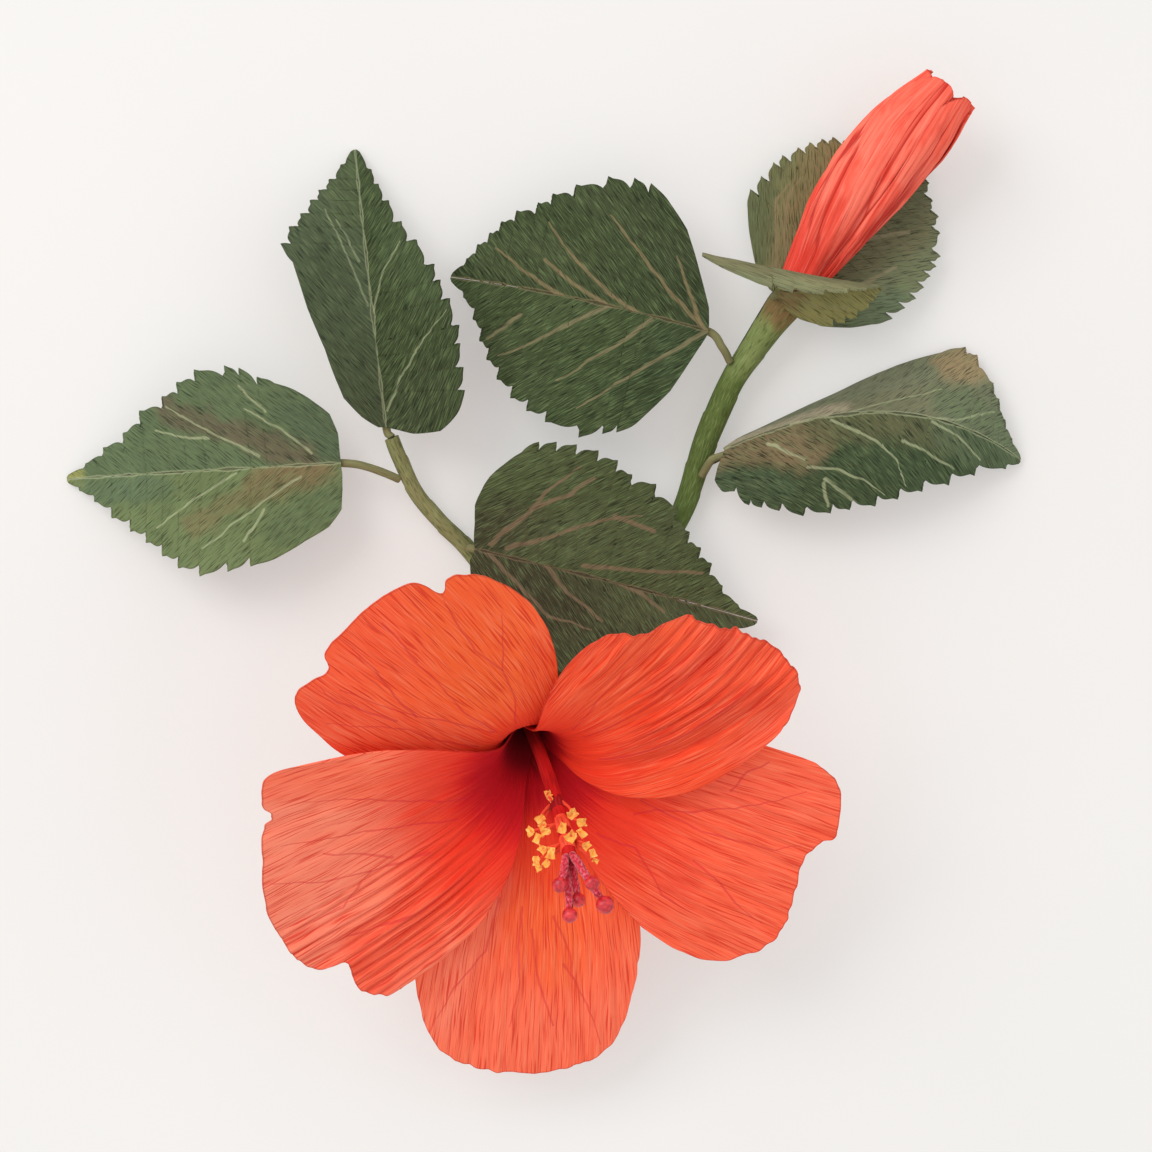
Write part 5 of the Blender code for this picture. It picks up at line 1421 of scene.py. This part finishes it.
def fringe_mesh(name, share, bits):
    """A collar round the column, its curved filaments, and a folded bit on each."""
    joined = bmesh.new()
    direction = unit(column_point(share + 0.01) - column_point(share - 0.01))
    centre = column_point(share)
    radius = mix(COLUMN_FOOT_RADIUS, COLUMN_TIP_RADIUS, share) + COLLAR_PAPER
    ends = (centre - direction * COLLAR_REACH, centre, centre + direction * COLLAR_REACH)

    def frayed(angle, where, thick):
        return 0.16 * ripple(angle * 3.0, where / 3.0, share * 90)

    parts = [(rod_mesh("collar", ends, (radius * 0.92, radius, radius * 0.98), 24, 8, frayed), 2)]
    for number, bit in enumerate(bits):
        place = np.array(bit.place)
        outward = place - centre
        outward = unit(outward - direction * (outward @ direction))
        root_share = share + FRINGE_SPREAD * (number / len(bits) - 0.5)
        root = column_point(root_share) + outward * radius * 0.9
        middle = mix(root, place, 0.55) + outward * 0.5 + UP * 0.35
        parts.append((rod_mesh("filament", (root, middle, place), FILAMENT_RADII, 8, 10,
                               end_round=FILAMENT_END), 0))
        parts.append((anther_mesh(bit, number, outward), 1))
    for mesh, slot in parts:
        for polygon in mesh.polygons:
            polygon.material_index = slot
        joined.from_mesh(mesh)
        bpy.data.meshes.remove(mesh)
    fringe = bpy.data.meshes.new(name)
    joined.to_mesh(fringe)
    joined.free()
    return fringe


def anther_mesh(bit, number, outward):
    """A crumpled bit of yellow paper, folded once, about 2 mm long."""
    turn = math.radians(bit.turn)
    flat = np.array((math.cos(turn), math.sin(turn), 0.0))
    tilt = unit(UP + outward * 0.5 + flat * 0.3)
    long_way = unit(flat - tilt * (flat @ tilt))
    wide_way = np.cross(tilt, long_way)

    def surface(across, along):
        x = (across - 0.5) * ANTHER_WIDTH * bit.size * mix(1.15, 0.8, along)
        y = (along - 0.5) * ANTHER_LENGTH * bit.size
        z = ANTHER_FOLD * np.abs(across - ANTHER_CREASE) * bit.size
        z = z + 0.22 * ripple(across * 3.2, along * 3.0, number * 3 + bit.turn)
        x = x + 0.25 * ripple(along * 3.0, across * 2.0, number + bit.turn)
        points = (np.array(bit.place) + wide_way * x[:, None] + long_way * y[:, None]
                  + tilt * z[:, None])
        return points, {"flat": np.stack((y, x), -1), "grain": np.stack((x + number * 7, y), -1)}

    return thicken(surface_mesh("anther", 8, 8, surface), ANTHER_PAPER)


class HIBISCUS_OT_styles(bpy.types.Operator):
    """Wind the five style arms and paint their beads"""
    bl_idname = "hibiscus.styles"
    bl_label = "Styles and stigmas"

    def execute(self, context):
        paper = context.scene.hibiscus_paper
        thread = thread_paint(paper.style_colour)
        bead_finish = bead_paint(paper.bead_colour)
        for number, route, bead, radius in style_routes():
            def fuzz(angle, where, thick, number=number):
                return 0.15 * ripple(angle * 2.2, where / 0.5, number * 17)

            arm = rod_mesh("style", route, (STYLE_RADIUS * 1.3, STYLE_RADIUS * STYLE_SWELL,
                                            STYLE_RADIUS * STYLE_SWELL, STYLE_RADIUS * 1.7),
                           22, 64, fuzz)
            keep_mesh(f"style_{number}_thread", arm, thread, [f"style_{number}"], "style_magenta")
            bm = bmesh.new()
            bmesh.ops.create_uvsphere(bm, u_segments=40, v_segments=28, radius=radius * MM,
                                      matrix=Matrix.Translation(Vector(bead) * MM))
            for corner in bm.verts:
                out = (corner.co / MM - Vector(bead)) / radius
                dent = math.sin(3 * out.x + number) * math.cos(4 * out.y) * BEAD_DENT
                corner.co = Vector(bead) * MM + out * radius * MM * (1.0 + dent)
            mesh = bpy.data.meshes.new("bead")
            bm.to_mesh(mesh)
            bm.free()
            keep_mesh(f"stigma_{number}_bead", mesh, bead_finish, [f"stigma_{number}"],
                      "stigma_crimson", 80.0)
        return {"FINISHED"}


class HIBISCUS_OT_calyx(bpy.types.Operator):
    """Wrap the green calyx and its ring of bracts behind the flower"""
    bl_idname = "hibiscus.calyx"
    bl_label = "Calyx and bracts"

    def execute(self, context):
        paper = context.scene.hibiscus_paper

        def calyx(across, share):
            lobe = 0.5 + 0.5 * np.cos(math.tau * CALYX_LOBES * across)
            length = CALYX_DEPTH + CALYX_CUP + CALYX_LOBE * lobe ** 1.4
            along = length * share - CALYX_DEPTH
            points = calyx_point(along, 360.0 * across)
            around = across * math.tau * 6.0
            axis_point = FLOWER_BASE + FLOWER_AXIS * along[:, None]
            out = unit(points - axis_point)
            dent = 0.10 * ripple(around / 1.2, along / 12, 51) * smooth(0.0, 0.2, share)
            return points - out * np.abs(dent)[:, None], paper_maps(along, around)

        def bracts(across, share):
            step = share * 3.0
            foot = calyx_point(np.full_like(across, -CALYX_DEPTH), 360.0 * across)
            brim = calyx_point(np.full_like(across, BRACT_RING - CALYX_DEPTH), 360.0 * across)
            outward = unit(brim - (FLOWER_BASE + FLOWER_AXIS * (BRACT_RING - CALYX_DEPTH)))
            gap = CALYX_PAPER + CALYX_GAP
            lobe = (0.5 + 0.5 * np.cos(math.tau * BRACT_COUNT * across)) ** 1.5
            length = BRACT_LENGTH * (0.08 + 0.92 * lobe) * np.maximum(step - 1.0, 0.0) / 2
            spread = math.radians(BRACT_SPREAD)
            ring = mix(foot, brim, np.minimum(step, 1.0)[:, None]) + outward * gap
            way = outward * math.sin(spread) + FLOWER_AXIS * math.cos(spread)
            return ring + way * length[:, None], paper_maps(step * BRACT_STEP, across * math.tau * 5.0)

        green = plain_paper("calyx_paper", paper.calyx_colour, 0.5, ink(160, 172, 110), 0.7, 8.0,
                            0.2, 8.0)
        for name, surface, columns in (("flower_calyx", calyx, CALYX_COLUMNS),
                                       ("flower_bracts", bracts, BRACT_COLUMNS)):
            sheet = surface_mesh(name, columns, CALYX_ROWS, surface, closed=True)
            keep_mesh(name + "_crepe", thicken(sheet, paper.calyx_thickness / MM), green,
                      [name], "calyx_green")
        return {"FINISHED"}


class HIBISCUS_OT_stems(bpy.types.Operator):
    """Wrap the main stem, the left twig and the flower's stalk"""
    bl_idname = "hibiscus.stems"
    bl_label = "Stems"

    def execute(self, context):
        paper = context.scene.hibiscus_paper
        top = FLOWER_BASE - FLOWER_AXIS * GLUE_GAP
        neck = FLOWER_BASE - FLOWER_AXIS * CALYX_DEPTH
        pedicel = (top, neck, *(np.array(point) for point in PEDICEL_ROUTE))
        stem_washes = (((0, 5), (80, 5), 16, ink(92, 96, 60), 0.7),
                       # Lighter yellow-green near the top, partly the wrap's own colour and partly a
                       # painted highlight.
                       ((174, 5), (187, 5), 9, ink(132, 144, 88), 0.8),
                       ((187, 5), (194, 5), 7, ink(136, 104, 66), 0.9),
                       ((108, 5), (158, 5), 12, ink(88, 104, 50), 0.7))
        twig_washes = (((0, 4), (90, 4), 14, ink(140, 136, 94), 0.9),)
        for name, route, radii, bore, rows, sides, seed, washes in (
                ("main_stem", MAIN_STEM, MAIN_STEM_RADII, MAIN_BORE, 320, 48, 9, stem_washes),
                ("left_twig", TWIG, TWIG_RADII, SIDE_BORE, 160, 32, 9, twig_washes),
                ("flower_stalk", pedicel, [PEDICEL_RADIUS] * 8, SIDE_BORE, 96, 32, 12, ())):
            def wound(angle, where, thick, seed=seed):
                spiral = (angle / math.tau - where / WRAP_PITCH) % 1.0
                step = smooth(0.0, 0.06, spiral) * (1.0 - spiral) * WRAP_STEP
                return step - 0.05 + crimps(np.stack((angle * thick, where), -1), STEM_CRIMPS, seed)

            wrap = plain_paper(name + "_wrap", paper.stem_colour, 0.35, ink(150, 170, 104), 0.4, 3.0,
                               0.3, float(seed), washes, 0.3)
            mesh = rod_mesh(name, route, radii, sides, rows, wound, bore)
            keep_mesh(name + "_crepe", mesh, wrap, [name], "stem_green", 70.0)
        steel = wire_steel()
        for name in ("main_stem_wire", "left_twig_wire", "flower_stalk_wire"):
            finish_cad_node(name, steel)
        return {"FINISHED"}


def finish_cad_node(name, material):
    """Give a CAD solid that stays in view its material."""
    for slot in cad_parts[name].material_slots:
        slot.material = material


class HIBISCUS_OT_leaves(bpy.types.Operator):
    """Cut the seven serrated leaves, glue their halves and wrap their stalks"""
    bl_idname = "hibiscus.leaves"
    bl_label = "Leaves"

    def execute(self, context):
        paper = context.scene.hibiscus_paper
        for seed, (name, leaf) in enumerate(LEAVES.items(), start=1):
            for hand, half, suffix, slot in ((1, leaf.left, "_half_1", "leaf_dark"),
                                             (-1, leaf.right, "_half_2", "leaf_olive")):
                blade = name + suffix
                columns, surface = half_blade_surface(leaf, half, hand, seed * 19 + hand)
                sheet = surface_mesh(blade, columns, LEAF_ROWS, surface)
                keep_mesh(blade + "_crepe", thicken(sheet, paper.leaf_thickness / MM),
                          leaf_paper(blade, LEAF_TINTS[blade], seed * 3.0 + hand), [blade], slot)
        wrap = plain_paper("stalk_wrap", paper.stalk_colour, 0.6, ink(172, 168, 120), 0.5, 6.0,
                           0.15, 9.0)
        for name, leaf in LEAVES.items():
            keep_mesh(name + "_stalk_crepe", stalk_mesh(leaf), wrap, [name + "_stalk"],
                      "stalk_olive", 70.0)
        return {"FINISHED"}


def stalk_mesh(leaf):
    """The wrapped wire under a leaf's midrib, which runs on as its stalk."""
    slope = math.radians(min(mix(leaf.right.fold[0], leaf.right.margin[0], WIRE_SLOPE), 0.0))
    seat = -math.tan(slope) * abs(leaf.wire_shift)
    clear = LEAF_PAPER / 2 + GLUE_GAP
    below = seat + (clear + MIDRIB_RADIUS) / math.cos(slope)
    under = [midrib_point(leaf, MIDRIB_SHARE * n / 4, below, leaf.wire_shift) for n in range(4, 0, -1)]
    foot = midrib_point(leaf, 0.0, seat + (clear + STALK_RADIUS) / math.cos(slope), leaf.wire_shift)
    route = [*under, foot, *(np.array(point, float) for point in leaf.stalk)]
    radii = [mix(MIDRIB_RADIUS, STALK_RADIUS, max(n - 2, 0) / 2) if n < 4 else STALK_RADIUS
             for n in range(len(route))]

    def wound(angle, where, thick):
        return 0.06 * ripple(angle * 2.0 + where * 0.3, where / 7, 5) * thick

    return rod_mesh("stalk", route, radii, 20, 110, wound)


class HIBISCUS_OT_bud(bpy.types.Operator):
    """Roll the bud's five pleated petals round its core"""
    bl_idname = "hibiscus.bud"
    bl_label = "Bud"

    def execute(self, context):
        paper = context.scene.hibiscus_paper
        finish = bud_paper(paper.bud_colour)
        for number in range(BUD_PETALS):
            sheet = surface_mesh("bud", *BUD_GRID, bud_surface(number))
            keep_mesh(f"bud_petal_{number + 1}_crepe", thicken(sheet, paper.petal_thickness / MM),
                      finish, [f"bud_petal_{number + 1}"], "bud_coral")
        finish_cad_node("bud_core", core_paper(paper.core_colour))
        return {"FINISHED"}


class HIBISCUS_OT_stage(bpy.types.Operator):
    """Lay the table, hang the window light and place the camera"""
    bl_idname = "hibiscus.stage"
    bl_label = "Table, light and camera"

    def execute(self, context):
        settings = context.scene.hibiscus_stage
        bm = bmesh.new()
        bmesh.ops.create_grid(bm, x_segments=1, y_segments=1, size=TABLE_REACH)
        mesh = bpy.data.meshes.new("table_top")
        bm.to_mesh(mesh)
        bm.free()
        table = bpy.data.objects.new("table_top", mesh)
        mesh.materials.append(table_paint(settings.floor_colour))
        context.scene.collection.objects.link(table)

        world = bpy.data.worlds.new("room")
        context.scene.world = world
        world.use_nodes = True
        room = world.node_tree.nodes["Background"]
        room.inputs["Color"].default_value = WHITE
        room.inputs["Strength"].default_value = settings.sky_strength

        light = bpy.data.lights.new("window", "AREA")
        light.shape = "SQUARE"
        light.size = settings.key_size
        light.energy = settings.key_power
        window = bpy.data.objects.new("window", light)
        window.location = WINDOW_PLACE
        aim = Vector(WINDOW_AIM) - window.location
        window.rotation_euler = aim.to_track_quat("-Z", "Y").to_euler()
        context.scene.collection.objects.link(window)

        lens = bpy.data.cameras.new("camera")
        lens.lens = settings.focal_length
        lens.sensor_width = SENSOR_WIDTH
        camera = bpy.data.objects.new("camera", lens)
        camera.location = (*CAMERA_PLACE, settings.camera_height)
        context.scene.collection.objects.link(camera)
        context.scene.camera = camera
        context.scene.view_settings.view_transform = "Standard"
        return {"FINISHED"}

class HIBISCUS_PT_panel(bpy.types.Panel):
    """Steps and settings of the hibiscus spray"""
    bl_label = "Hibiscus Spray"
    bl_idname = "HIBISCUS_PT_panel"
    bl_space_type = "VIEW_3D"
    bl_region_type = "UI"
    bl_category = "Hibiscus"

    def draw(self, context):
        for step in STEPS:
            self.layout.operator(step.bl_idname)
        for settings in (context.scene.hibiscus_paper, context.scene.hibiscus_stage):
            box = self.layout.box()
            for name in settings.__annotations__:
                box.prop(settings, name)


STEPS = (HIBISCUS_OT_petals, HIBISCUS_OT_stamens, HIBISCUS_OT_styles, HIBISCUS_OT_calyx,
         HIBISCUS_OT_stems, HIBISCUS_OT_leaves, HIBISCUS_OT_bud, HIBISCUS_OT_stage)
CLASSES = (HibiscusPaper, HibiscusStage, *STEPS, HIBISCUS_PT_panel)


def register():
    for cls in CLASSES:
        bpy.utils.register_class(cls)
    bpy.types.Scene.hibiscus_paper = PointerProperty(type=HibiscusPaper)
    bpy.types.Scene.hibiscus_stage = PointerProperty(type=HibiscusStage)


def unregister():
    del bpy.types.Scene.hibiscus_stage
    del bpy.types.Scene.hibiscus_paper
    for cls in reversed(CLASSES):
        bpy.utils.unregister_class(cls)


def main():
    register()
    bpy.ops.hibiscus.petals()
    bpy.ops.hibiscus.stamens()
    bpy.ops.hibiscus.styles()
    bpy.ops.hibiscus.calyx()
    bpy.ops.hibiscus.stems()
    bpy.ops.hibiscus.leaves()
    bpy.ops.hibiscus.bud()
    bpy.ops.hibiscus.stage()


if __name__ == "__main__":
    main()
